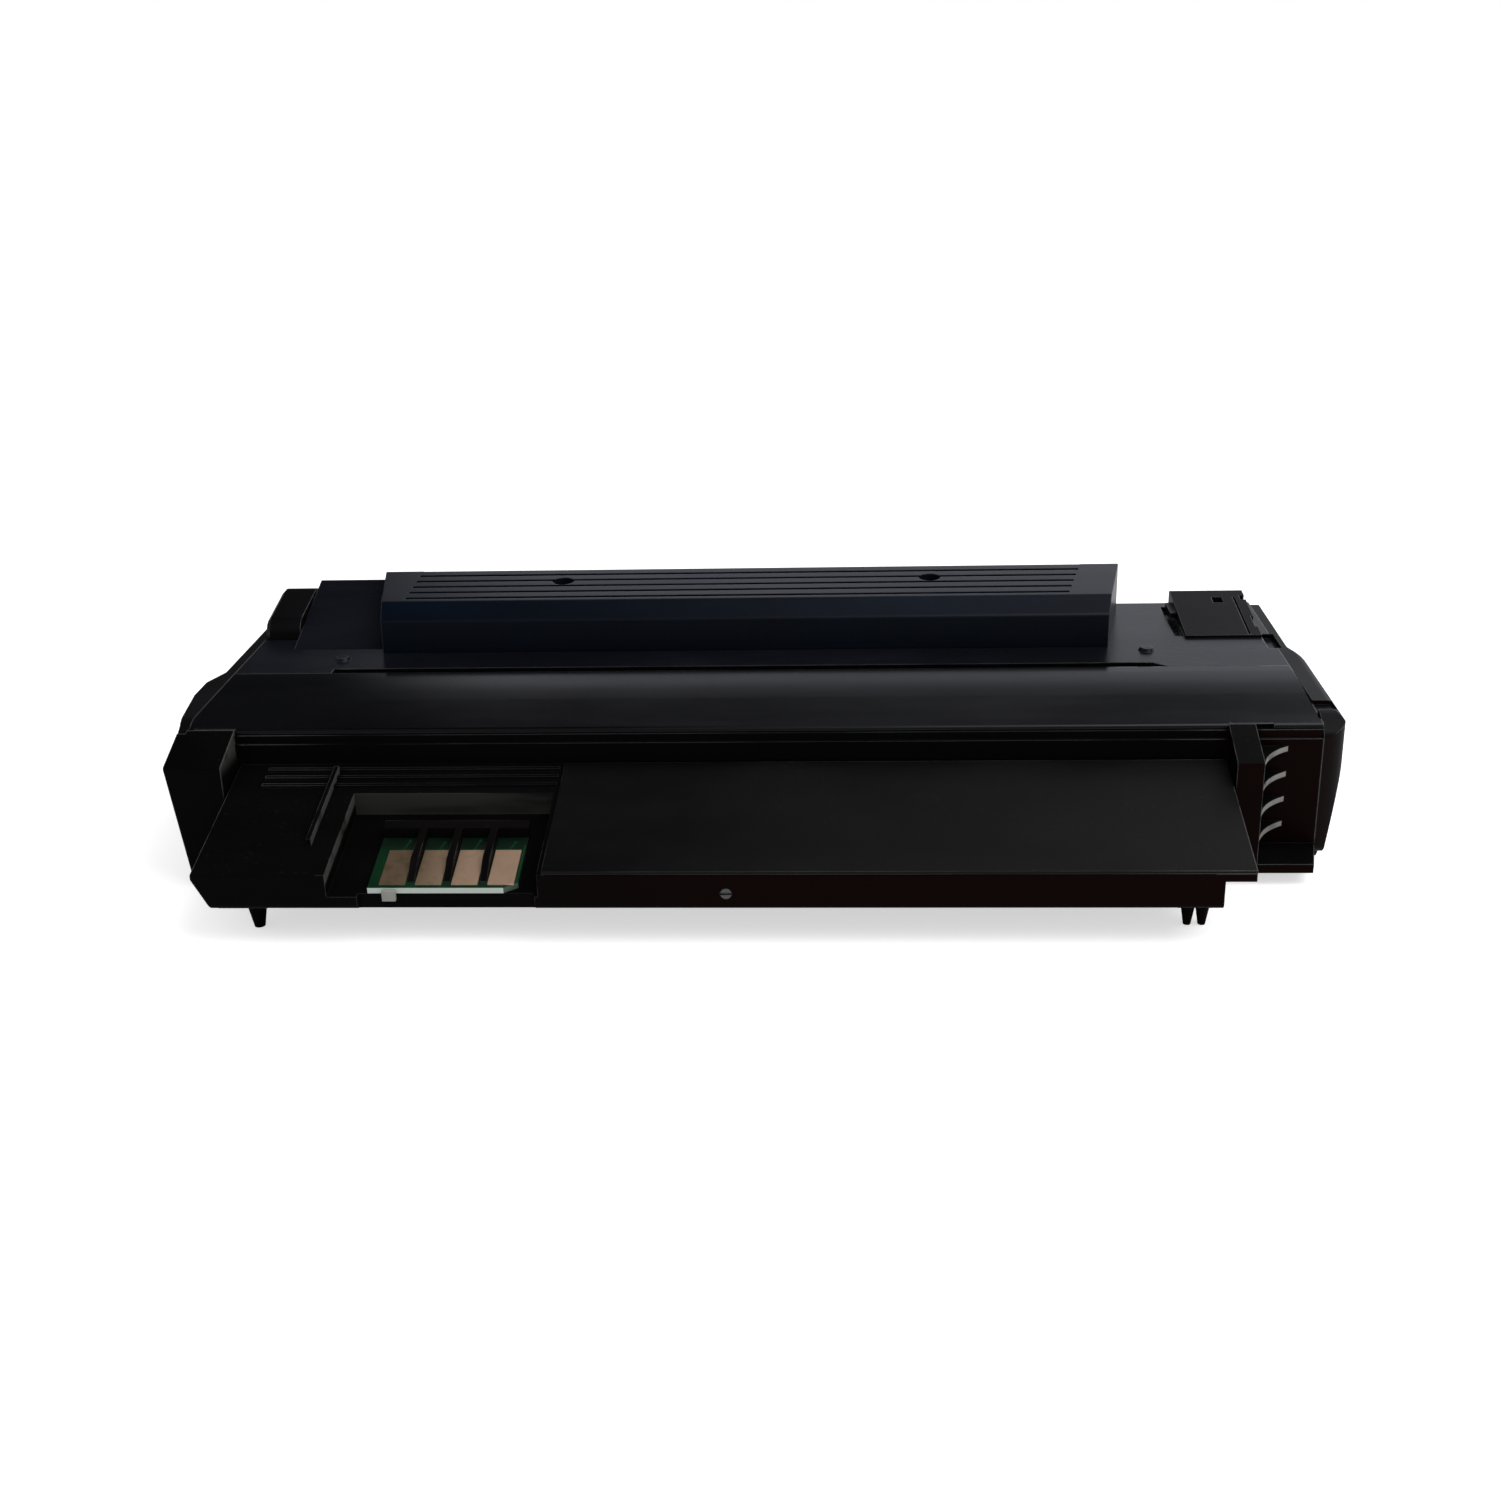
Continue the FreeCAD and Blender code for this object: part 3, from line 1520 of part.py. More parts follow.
def contact_plates():
    """Sprung terminals on the right side plates."""
    width, height, thickness, reach = terminal
    face = plate_outer + thickness
    places = (
        (hopper_front + 4.5 * wall, drum_axis[1] + 3.75 * wall),
        (waste_lip + 2.5 * wall, drum_axis[1] - 1.25 * wall),
        (waste_lip + 2.5 * wall, drum_axis[1] + 6 * wall),
    )
    solids = []
    for y, z in places:
        strip = block(plate_outer, face, y - width / 2, y + width / 2, z - height / 2, z + height / 2)
        spring = prism_z(
            [
                (face, y - width / 3),
                (face + reach, y - width / 12),
                (face + reach, y + width / 12),
                (face, y + width / 3),
            ],
            z - height / 5,
            z + height / 5,
        )
        solids.append(strip.fuse(spring).removeSplitter())
    return Part.makeCompound(solids)


def chip_board():
    """Small circuit board on the floor of the recess, its front right corner cut off."""
    top = pan_depth - board_thickness
    right = board_left + board_width
    board = prism_x(sloped(board_front, board_front + board_reach, top, pan_depth), board_left, right)
    width, depth = board_corner
    corner = [(right - width, board_front - 1), (right + 1, board_front - 1), (right + 1, board_front + depth)]
    return board.cut(prism_z(corner, 0, body_top))


def chip_pads():
    """Gold-plated pads of the board."""
    solids = []
    top = pan_depth - board_thickness
    y0 = board_front + pad_gap
    for i in range(pad_count):
        x = board_left + pad_margin_left + i * pad_pitch
        solids.append(prism_x(sloped(y0, y0 + pad_reach, top - pad_thickness, top), x, x + pad_width))
    return Part.makeCompound(solids)


def chip_guard():
    """Comb with three fins that stand between the pads, on a rear bar."""
    top = pan_depth - board_thickness
    y1 = board_front + board_reach + guard_gap
    y2 = y1 + guard_bar
    right = board_left + board_width
    pieces = [prism_x(sloped(y1, y2, top - fin_height, pan_depth), board_left, right)]
    start = front + fin_start
    crest = start + fin_ramp
    for i in range(pad_count - 1):
        x = board_left + pad_margin_left + pad_width + i * pad_pitch + fin_side_gap
        fin = prism_x(
            [
                (start, tongue_height(start) - top),
                (crest, tongue_height(crest) - top + fin_height),
                (y2, tongue_height(y2) - top + fin_height),
                (y2, tongue_height(y2) - top),
            ],
            x,
            x + fin_width,
        )
        pieces.append(fin)
    return join(pieces)


def chip_latch():
    """Pale tab that holds the board's front edge."""
    place, width, depth, height = latch
    x = board_left + place
    y0 = board_front - depth - 0.1
    z = tongue_height(y0) - pan_depth - height / 2
    return block(x, x + width, y0, y0 + depth, z, z + height)


def front_catch():
    """Round metal catch in the tongue's front face."""
    x, y, z = catch_place
    pin = Part.makeCylinder(catch_radius, wall, FreeCAD.Vector(x, y, z), FreeCAD.Vector(0, 1, 0))
    half = 0.25 * catch_radius
    slot = block(x - 2 * catch_radius, x + 2 * catch_radius, y - 1, y + 0.25 * wall, z - half, z + half)
    return pin.cut(slot)


def build():
    """All pieces by name."""
    holder_end = half_charge + holder_gap + holder_width - 0.25 * wall
    shaft_end = plate_outer + wall
    return {
        "hopper_body": hopper_body(),
        "hopper_lid": hopper_lid(),
        "tongue_plate": tongue_plate(),
        "waste_housing": waste_housing(),
        "handle_cover": handle_cover(),
        "handle_screws": handle_screws(),
        "gear_cover": gear_cover(),
        "contact_cover": contact_cover(),
        "right_end_cap": right_end_cap(),
        "left_end_cap": left_end_cap(),
        "cap_screws": cap_screws(),
        "chip_board": chip_board(),
        "chip_pads": chip_pads(),
        "chip_guard": chip_guard(),
        "chip_latch": chip_latch(),
        "front_catch": front_catch(),
        "drum_tube": drum_tube(),
        "drum_gear": drum_gear(),
        "drum_flange": drum_flange(),
        "drum_shaft": drum_shaft(),
        "developer_sleeve": tube(
            developer_axis, developer_radius, shaft_radius, -half_developer, half_developer
        ),
        "developer_shaft": rod(developer_axis, shaft_radius, gear_face - gear_layer, shaft_end),
        "developer_gear": developer_gear(),
        "developer_bushes": pair(lambda: bush(developer_axis, bush_radius, shaft_radius)),
        "supply_foam": tube(supply_axis, supply_radius, small_shaft_radius, -half_supply, half_supply),
        "supply_shaft": rod(supply_axis, small_shaft_radius, gear_end, shaft_end),
        "supply_gear": supply_gear(),
        "supply_bushes": pair(lambda: bush(supply_axis, small_bush_radius, small_shaft_radius)),
        "idler_gear": idler_gear(),
        "idler_post": rod(
            idler_axis, idler_post_radius, gear_face - 2 * gear_layer - layer_gap, -plate_inner
        ),
        "agitator_shaft": agitator_shaft(),
        "agitator_film": agitator_film(),
        "agitator_gear": agitator_gear(),
        "charge_rubber": tube(charge_axis, charge_radius, small_shaft_radius, -half_charge, half_charge),
        "charge_shaft": rod(charge_axis, small_shaft_radius, -holder_end, holder_end),
        "charge_holders": pair(charge_holder),
        "charge_springs": pair(charge_spring),
        "doctor_bracket": doctor_bracket(),
        "doctor_blade": doctor_blade(),
        "wiper_bracket": wiper_bracket(),
        "wiper_blade": wiper_blade(),
        "blade_screws": blade_screws(),
        "end_seals": pair(end_seal),
        "toner_plug": toner_plug(),
        "contact_plates": contact_plates(),
    }


os.makedirs("parts", exist_ok=True)
for name, shape in build().items():
    shape.exportStep(f"parts/{name}.step")
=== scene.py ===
import math

import bmesh
import bpy
from mathutils import Matrix, Vector


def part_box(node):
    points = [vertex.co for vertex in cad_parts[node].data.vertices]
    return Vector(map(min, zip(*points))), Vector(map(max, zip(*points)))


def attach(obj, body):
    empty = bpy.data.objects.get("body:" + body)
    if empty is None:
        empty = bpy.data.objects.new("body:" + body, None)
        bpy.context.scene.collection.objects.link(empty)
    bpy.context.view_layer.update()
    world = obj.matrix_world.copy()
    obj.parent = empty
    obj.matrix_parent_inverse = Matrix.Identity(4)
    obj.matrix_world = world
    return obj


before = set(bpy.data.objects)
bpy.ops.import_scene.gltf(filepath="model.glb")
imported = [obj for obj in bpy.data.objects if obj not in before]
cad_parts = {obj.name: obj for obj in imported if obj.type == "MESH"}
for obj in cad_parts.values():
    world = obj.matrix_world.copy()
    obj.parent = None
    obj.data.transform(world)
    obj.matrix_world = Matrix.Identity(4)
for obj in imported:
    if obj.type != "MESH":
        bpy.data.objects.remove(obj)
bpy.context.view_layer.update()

bl_info = {
    "name": "Toner Cartridge",
    "version": (1, 0, 0),
    "blender": (4, 5, 0),
    "location": "3D View > Sidebar > Cartridge",
    "description": "Finishes a toner cartridge and sets it in a plain studio",
    "category": "Object",
}

MM = 0.001

# Socket numbers of a Mix node that mixes colours.
MIX_FACTOR = 0
MIX_LOW = 6
MIX_HIGH = 7
MIX_RESULT = 2

# Looks of the mouldings and the catch. A pair of limits says where a change starts and is complete.
# Painted light on upright front faces: the first limits pick the faces, the warm limits place the painted
# warm sheen.
FACES_FRONT = (0.80, 0.97)
FACES_UP = (0.60, 0.95)
WARM_ALONG = (-75.0 * MM, 5.0 * MM)
WARM_BELOW = (19.5 * MM, 18.0 * MM)
WARM_END = (117.0 * MM, 120.0 * MM)
# Painted highlight: the whitening turns it white at the right end, on the gussets.
WHITE_END = (117.0 * MM, 118.0 * MM)
# Edges lightened as wear and as painted highlights, more towards both ends.
WORN_AND_LIT_ENDS = (92.0 * MM, 116.0 * MM)
POLISH_AND_HIGHLIGHT_STREAKS = (0.36, 0.60)
WORN_AND_LIT_MORE_AT_ENDS = 0.12
WEAR_AND_HIGHLIGHT_MIDDLE = 0.55
WEAR_AND_HIGHLIGHT_AT_ENDS = 0.75
HIGHLIGHT_WHITENING = 4.5
SMUDGES = (0.35, 0.70)
SMUDGE_TONES = (0.65, 1.35)
GRAIN_HEIGHT = 0.6
STREAK_ROUGHNESS = 0.08
WORN_SMOOTHING = 0.12
DUST_SPECKS = (0.66, 0.78)
DUST_CLOUDS = (0.42, 0.62)
DUST_COVER = 0.30
HIGHLIGHT_STREAKS = (0.20, 0.50)
# Darkening of the painted shade on the waste housing's upright front faces, seen in the slit.
SLIT_SHADE_DARKENING = 0.4
CATCH_DARKENING = 0.25
OPEN_DISTANCE = 2.0 * MM
OPEN_SHARE = (0.70, 0.92)
OPEN_SAMPLES = 4
EDGE_TURN = (0.02, 0.20)
EDGE_SAMPLES = 6

# Places and strength of the painted highlights on the hopper.
HIGHLIGHT_FACES = (0.85, 0.97)
TONGUE_EDGE_HEIGHT = 18.5 * MM
TONGUE_REACH = (3.0 * MM, 2.0 * MM)
BOARD_CLEARANCE = 4.0 * MM
LEFT_LOW = (-120.0 * MM, -118.0 * MM)
LEFT_HIGH = (29.0 * MM, 34.0 * MM)
RECESS_LEFT = 9.5 * MM
RECESS_RIGHT = 5.0 * MM
RECESS_BACK = (-39.5 * MM, -37.5 * MM)
RECESS_SOFT = 0.3 * MM
RECESS_HIGHLIGHT = 0.55
LEFT_HIGHLIGHT = 0.9
GUSSET_WEB = (126.0 * MM, 126.5 * MM)
GUSSET_EDGE = (119.5 * MM, 125.0 * MM)
GUSSET_EDGE_RADIUS = 0.4 * MM
GUSSET_EDGE_FACES = (0.5, 0.9)
WEB_FACES_RIGHT = (0.25, 0.45)
WEB_FACES_FRONT = (0.15, 0.35)
HIGHLIGHT_SOFT = 0.5 * MM

# Chip and drum. The shade lies behind the pads; the pads grow darker and duller from their right to their
# left end.
WEAVE_PITCH = 0.5 * MM
SHADE_BEHIND_PADS = (-1.0 * MM, 3.0 * MM)
DIM_FROM_RIGHT = 9.0 * MM
DIM_TO_LEFT = 3.0 * MM
DRUM_BARE = (112.0 * MM, 117.0 * MM)

# Printed tracks of the chip's board.
TRACK_HEIGHT = 0.04 * MM
TRACK_SWAY = 1.1 * MM
TRACK_GAP = 0.5 * MM
TRACK_SETBACK = 1.0 * MM
EYE_HEIGHT = 0.06 * MM
EYE_INSET = 1.2 * MM
EYE_STAGGER = 0.7 * MM
EYE_SIZE = 2.2
EYE_CORNERS = 14

# Sealing film: its section in millimetres from its bend, glued edge first and free lip last.
FILM_SECTION = ((4.0, 0.0), (0.6, 0.0), (0.0, 0.0), (-1.8, 1.5), (-3.3, 2.9))
FILM_BEHIND_DRUM = 2.6 * MM
FILM_ABOVE_FLOOR = 0.08 * MM
FILM_THICKNESS = 0.1 * MM
FILM_SHORTER = 2.0 * MM
HOUSING_FLOOR = 2.0 * MM

# What glossy faces mirror: levels, and limits in the parts of a direction of length 1.
HORIZON_TOP = (0.48, 0.38)
HORIZON_FRONT = (-0.10, 0.35)
HORIZON_LEFT = (-0.28, -0.18)
HORIZON_REST = 0.01
CEILING_LEFT = (-0.16, 0.04)
CEILING_LOW = (0.52, 0.74)
CEILING_HIGH = (0.76, 0.88)
CEILING_LEVELS = (0.07, 0.14, 0.70)
ROOM_REST = 0.02
SIDES = (0.50, 0.80)
CAMERA_SIDE = (-0.15, -0.60)
WALL_FOOT = (0.05, 0.35)
WALL_LEVEL = 0.40

# Camera and lamps, in metres apart from the sensor's width in millimetres.
SENSOR_WIDTH = 36.0
NEAR_CLIP = 0.01
KEY_PLACE = (0.55, -0.25, 0.95)
KEY_SIZE = 0.9
RIM_PLACE = (0.75, 0.85, 0.75)
RIM_SIZE = 0.7
LAMP_AIM = (0.0, 0.0, 0.03)


def colour_property(name, description, default):
    """A linear RGB colour that a user can change."""
    return bpy.props.FloatVectorProperty(
        name=name, description=description, default=default, subtype="COLOR", size=3, min=0.0, max=1.0
    )


def length_property(name, description, default):
    """A length in metres that a user can change."""
    return bpy.props.FloatProperty(name=name, description=description, default=default, unit="LENGTH")


def angle_property(name, description, degrees):
    """An angle that a user can change, given here in degrees."""
    default = math.radians(degrees)
    return bpy.props.FloatProperty(name=name, description=description, default=default, subtype="ANGLE")


def factor_property(name, description, default):
    """A share from 0 to 1 that a user can change."""
    return bpy.props.FloatProperty(
        name=name, description=description, default=default, subtype="FACTOR", min=0.0, max=1.0
    )


def number_property(name, description, default):
    """A plain number that a user can change."""
    return bpy.props.FloatProperty(name=name, description=description, default=default)


class CARTRIDGE_PG_plastics(bpy.types.PropertyGroup):
    """Colours and wear of the black mouldings."""

    body: colour_property("Body", "Lower hopper and tongue", (0.0022, 0.0021, 0.0022))
    tongue: colour_property("Tongue plate", "Raised plate on the tongue", (0.0028, 0.0026, 0.0024))
    # Painted light: front is a painted warm sheen on upright front faces, low down and at the right end,
    # growing towards the right; shade is a painted neutral shade on them at the left and high up.
    front: colour_property("Front faces", "Warm tint of upright faces in front", (0.0046, 0.0013, 0.0010))
    shade: colour_property("Left front faces", "Neutral tint at the left", (0.0018, 0.0018, 0.0022))
    lid: colour_property("Lid", "Hopper lid", (0.0022, 0.0023, 0.0034))
    # Rear is the lid's plastic painted lighter: painted light on the waste housing behind the slit.
    rear: colour_property("Rear housing", "Waste housing behind the slit", (0.0054, 0.0064, 0.0095))
    grip: colour_property("Grip", "Ribbed grip", (0.0009, 0.0030, 0.0076))
    cap: colour_property("End caps", "End caps and corner covers", (0.0028, 0.0023, 0.0028))
    # Worn edge is wear and painted highlight: polished edges that stand for edge highlights too, lighter
    # towards both ends.
    worn_and_lit_edge: colour_property("Worn edge", "Polished plastic along edges", (0.15, 0.15, 0.155))
    dust: colour_property("Dust", "Dust and handling marks", (0.020, 0.020, 0.022))
    # Scuffed faces is the colour of painted highlights on chosen faces and edges of the hopper.
    highlight_colour: colour_property("Scuffed faces", "Whitened faces that rub", (0.055, 0.054, 0.050))
    crown: angle_property("Lid crown", "Forward fall of the lid", 2.0)
    edge_radius: length_property("Edge radius", "Rounding seen along the moulded edges", 0.40 * MM)
    # Wear scales the edges lightened as wear and as painted highlights.
    wear_and_highlight: factor_property("Wear", "How far edges are polished", 0.75)


class CARTRIDGE_PG_chip(bpy.types.PropertyGroup):
    """Colours and sizes of the chip."""

    mask: colour_property("Solder mask", "Green lacquer of the board", (0.0010, 0.026, 0.008))
    shaded: colour_property("Shaded mask", "Dark lacquer behind the pads", (0.001, 0.003, 0.002))
    laminate: colour_property("Laminate", "Bare edge of the board", (0.50, 0.56, 0.52))
    gold: colour_property("Gold", "Plating of the pads", (0.74, 0.50, 0.34))
    # Darker, duller gold that the pads take on towards the left.
    dim_gold: colour_property("Tarnish", "Dull plating of the pads at the left", (0.19, 0.135, 0.075))
    comb: colour_property("Comb", "Fins between the pads", (0.0036, 0.0030, 0.0028))
    tab: colour_property("Tab", "Pale tab below the board's front edge", (0.30, 0.30, 0.27))
    track_width: length_property("Track width", "Width of a printed track", 0.35 * MM)
    pad_width: length_property("Pad width", "Width of a pad", 6.2 * MM)
    pad_count: bpy.props.IntProperty(name="Pads", description="Number of pads", default=4, min=2)
    slope: angle_property("Slope", "Slope of the board", 12.8)


class CARTRIDGE_PG_works(bpy.types.PropertyGroup):
    """Colours of the pieces inside."""

    drum: colour_property("Drum", "Photosensitive coating", (0.030, 0.19, 0.24))
    drum_ends: colour_property("Drum ends", "Bare ends of the drum", (0.10, 0.12, 0.12))
    flange: colour_property("Flange", "Flange of the drum", (0.045, 0.045, 0.05))
    sleeve: colour_property("Sleeve", "Blasted developer sleeve", (0.16, 0.16, 0.17))
    toner: colour_property("Toner", "Toner left on the sleeve", (0.025, 0.025, 0.027))
    foam: colour_property("Foam", "Foam of the supply roller", (0.06, 0.06, 0.065))
    rubber: colour_property("Rubber", "Conductive rubber", (0.012, 0.012, 0.013))
    stirrer: colour_property("Stirrer", "Shaft of the stirrer", (0.30, 0.30, 0.31))
    sheet: colour_property("Stirrer film", "Milky film of the stirrer", (0.55, 0.56, 0.56))
    sheet_soil: colour_property("Film streaks", "Toner on the stirrer film", (0.05, 0.05, 0.05))
    acetal: colour_property("Gears", "Natural gear plastic", (0.62, 0.60, 0.52))
    bush: colour_property("Bushes", "Plastic of bushes and holders", (0.035, 0.035, 0.038))
    plug: colour_property("Plug", "Plug of the filling hole", (0.20, 0.21, 0.22))
    steel: colour_property("Steel", "Ground and zinc-plated steel", (0.52, 0.52, 0.53))
    wire: colour_property("Spring wire", "Springs and terminals", (0.60, 0.60, 0.60))
    amber: colour_property("Blade", "Polyurethane of the blades", (0.30, 0.17, 0.06))
    felt: colour_property("Felt", "Felt of the end seals", (0.42, 0.41, 0.38))
    felt_soil: colour_property("Soiled felt", "Toner worked into the felt", (0.08, 0.08, 0.08))
    film: colour_property("Film", "Thin sealing film", (0.10, 0.10, 0.11))


class CARTRIDGE_PG_studio(bpy.types.PropertyGroup):
    """Camera, floor and light."""

    eye: bpy.props.FloatVectorProperty(
        name="Eye",
        description="Place of the camera",
        default=(0.02975, -0.45242, 0.20431),
        subtype="TRANSLATION",
        unit="LENGTH",
        size=3,
    )
    pitch: angle_property("Pitch", "Downward tilt", 22.0)
    yaw: angle_property("Yaw", "Turn to the left", 3.69)
    roll: angle_property("Roll", "Tilt of the horizon", -1.70)
    lens: number_property("Lens", "Focal length in millimetres", 44.304)
    room: factor_property("Room", "Level of the plain light all round", 0.55)
    sky: colour_property("Sky", "Cool tint of what glossy plastic mirrors", (0.90, 0.92, 1.0))
    floor: colour_property("Floor", "Plain pale floor", (0.82, 0.82, 0.82))
    floor_size: length_property("Floor size", "Side of the floor", 30.0)
    floor_glow: factor_property("Floor glow", "What lifts the floor to white for the camera", 0.60)
    key: number_property("Key", "Power of the main lamp in watts", 7.0)
    rim: number_property("Rim", "Power of the lamp behind in watts", 2.0)


GROUPS = {
    "cartridge_plastics": CARTRIDGE_PG_plastics,
    "cartridge_chip": CARTRIDGE_PG_chip,
    "cartridge_works": CARTRIDGE_PG_works,
    "cartridge_studio": CARTRIDGE_PG_studio,
}


class Signal:
    """A shader socket that Python expressions can work on."""

    def __init__(self, finish, socket):
        self.finish = finish
        self.socket = socket

    def run(self, operation, *values):
        """One Math node; the first value is this signal."""
        inputs = dict(enumerate((self,) + values))
        return self.finish.node("ShaderNodeMath", {"operation": operation}, inputs)["Value"]

    def __add__(self, other):
        return self.run("ADD", other)

    def __radd__(self, other):
        return self.run("ADD", other)

    def __sub__(self, other):
        return self.run("SUBTRACT", other)

    def __rsub__(self, other):
        return (self * -1.0).run("ADD", other)

    def __mul__(self, other):
        return self.run("MULTIPLY", other)

    def __rmul__(self, other):
        return self.run("MULTIPLY", other)

    def size(self):
        """The value without its sign."""
        return self.run("ABSOLUTE")

    def either(self, other):
        """The higher of two masks."""
        return self.run("MAXIMUM", other)

    def step(self, low, high):
        """0 below low and 1 above high, smooth in between; falls where low is above high."""
        inputs = {"Value": self, "From Min": low, "From Max": high}
        if low > high:
            inputs = {"Value": self, "From Min": high, "From Max": low, "To Min": 1.0, "To Max": 0.0}
        settings = {"interpolation_type": "SMOOTHSTEP"}
        return self.finish.node("ShaderNodeMapRange", settings, inputs)["Result"]

    def within(self, low, high, soft):
        """1 between two values, with soft shoulders outside them."""
        return self.step(low - soft, low) * self.step(high + soft, high)


class Outputs:
    """Output sockets of a node by name or number, as signals."""

    def __init__(self, finish, made):
        self.finish = finish
        self.made = made

    def __getitem__(self, name):
        return Signal(self.finish, self.made.outputs[name])


class Finish:
    """A node tree under construction."""

    def __init__(self, tree):
        self.tree = tree
        self.tree.nodes.clear()
        self.place = None

    def feed(self, socket, value):
        """Links a signal to a socket, or gives the socket a plain value."""
        if isinstance(value, Signal):
            self.tree.links.new(value.socket, socket)
        else:
            socket.default_value = value

    def node(self, kind, settings=None, inputs=None):
        """A node; its settings come first, then the values or links of its sockets."""
        made = self.tree.nodes.new(kind)
        for name, value in (settings or {}).items():
            setattr(made, name, value)
        for name, value in (inputs or {}).items():
            self.feed(made.inputs[name], value)
        return Outputs(self, made)

    def point(self):
        """Place on the object, in metres of its own frame."""
        if self.place is None:
            self.place = self.node("ShaderNodeTexCoord")["Object"]
        return self.place

    def parts(self, direction):
        """X, Y and Z of a place or direction."""
        return self.node("ShaderNodeSeparateXYZ", inputs={"Vector": direction})

    def noise(self, size, detail, rough, stretch=(1, 1, 1)):
        """Noise whose grains measure about the given size in metres."""
        inputs = {0: self.point(), 1: [s / size for s in stretch]}
        scaled = self.node("ShaderNodeVectorMath", {"operation": "MULTIPLY"}, inputs)["Vector"]
        inputs = {"Vector": scaled, "Scale": 1.0, "Detail": detail, "Roughness": rough}
        return self.node("ShaderNodeTexNoise", None, inputs)["Fac"]

    def blend(self, factor, low, high):
        """Colour between two colours."""
        inputs = {MIX_FACTOR: factor, MIX_LOW: as_colour(low), MIX_HIGH: as_colour(high)}
        return self.node("ShaderNodeMix", {"data_type": "RGBA"}, inputs)[MIX_RESULT]


def as_colour(value):
    """A colour with alpha, or the signal itself."""
    if isinstance(value, Signal):
        return value
    return (value[0], value[1], value[2], 1.0)


def tinted(colour, factor):
    """A colour multiplied by a number, at most white."""
    return [min(1.0, factor * part) for part in colour]


class Surface(Finish):
    """Material tree with one Principled shader and what many finishes share."""

    def __init__(self, name):
        self.material = bpy.data.materials.new(name)
        self.material.use_nodes = True
        super().__init__(self.material.node_tree)
        shader = self.node("ShaderNodeBsdfPrincipled")
        self.sockets = shader.made.inputs
        self.node("ShaderNodeOutputMaterial", None, {"Surface": shader["BSDF"]})

    def set(self, **values):
        """Shader sockets by name, with underscores for spaces."""
        for name, value in values.items():
            self.feed(self.sockets[name.replace("_", " ")], value)

    def faces(self):
        """Direction of the true surface."""
        return self.node("ShaderNodeNewGeometry")["True Normal"]

    def rounded(self, radius):
        """Direction of the surface with its edges rounded."""
        return self.node("ShaderNodeBevel", {"samples": EDGE_SAMPLES}, {"Radius": radius})["Normal"]

    def edge(self, radius):
        """1 along outer edges, 0 on flats and in corners."""
        directions = {0: self.rounded(radius), 1: self.faces()}
        alike = self.node("ShaderNodeVectorMath", {"operation": "DOT_PRODUCT"}, directions)["Value"]
        settings = {"samples": OPEN_SAMPLES}
        open_side = self.node("ShaderNodeAmbientOcclusion", settings, {"Distance": OPEN_DISTANCE})["AO"]
        return (1.0 - alike).step(*EDGE_TURN) * open_side.step(*OPEN_SHARE)

    def relief(self, height, depth, strength=1.0, radius=None):
        """Normal with a height pattern on it, over rounded edges where a radius is given."""
        inputs = {"Height": height, "Distance": depth, "Strength": strength}
        if radius is not None:
            inputs["Normal"] = self.rounded(radius)
        return self.node("ShaderNodeBump", None, inputs)["Normal"]


def dress(material, *names):
    """Gives the material to CAD nodes."""
    for name in names:
        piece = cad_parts[name]
        if not piece.material_slots:
            piece.data.materials.append(material)
        for slot in piece.material_slots:
            slot.material = material


def paint_front_sheen_and_shade(surface, place, facing, base, front):
    """The base colour with painted light on upright faces in front: the shade colour as painted shade at
    the left and high up, else the front colour.
    """
    plastics = bpy.context.scene.cartridge_plastics
    upright = (facing["Y"] * -1.0).step(*FACES_FRONT)
    low = place["Z"].step(*WARM_BELOW).either(place["X"].step(*WARM_END))
    warm = place["X"].step(*WARM_ALONG) * low
    return surface.blend(upright, base, surface.blend(warm, plastics.shade, front))


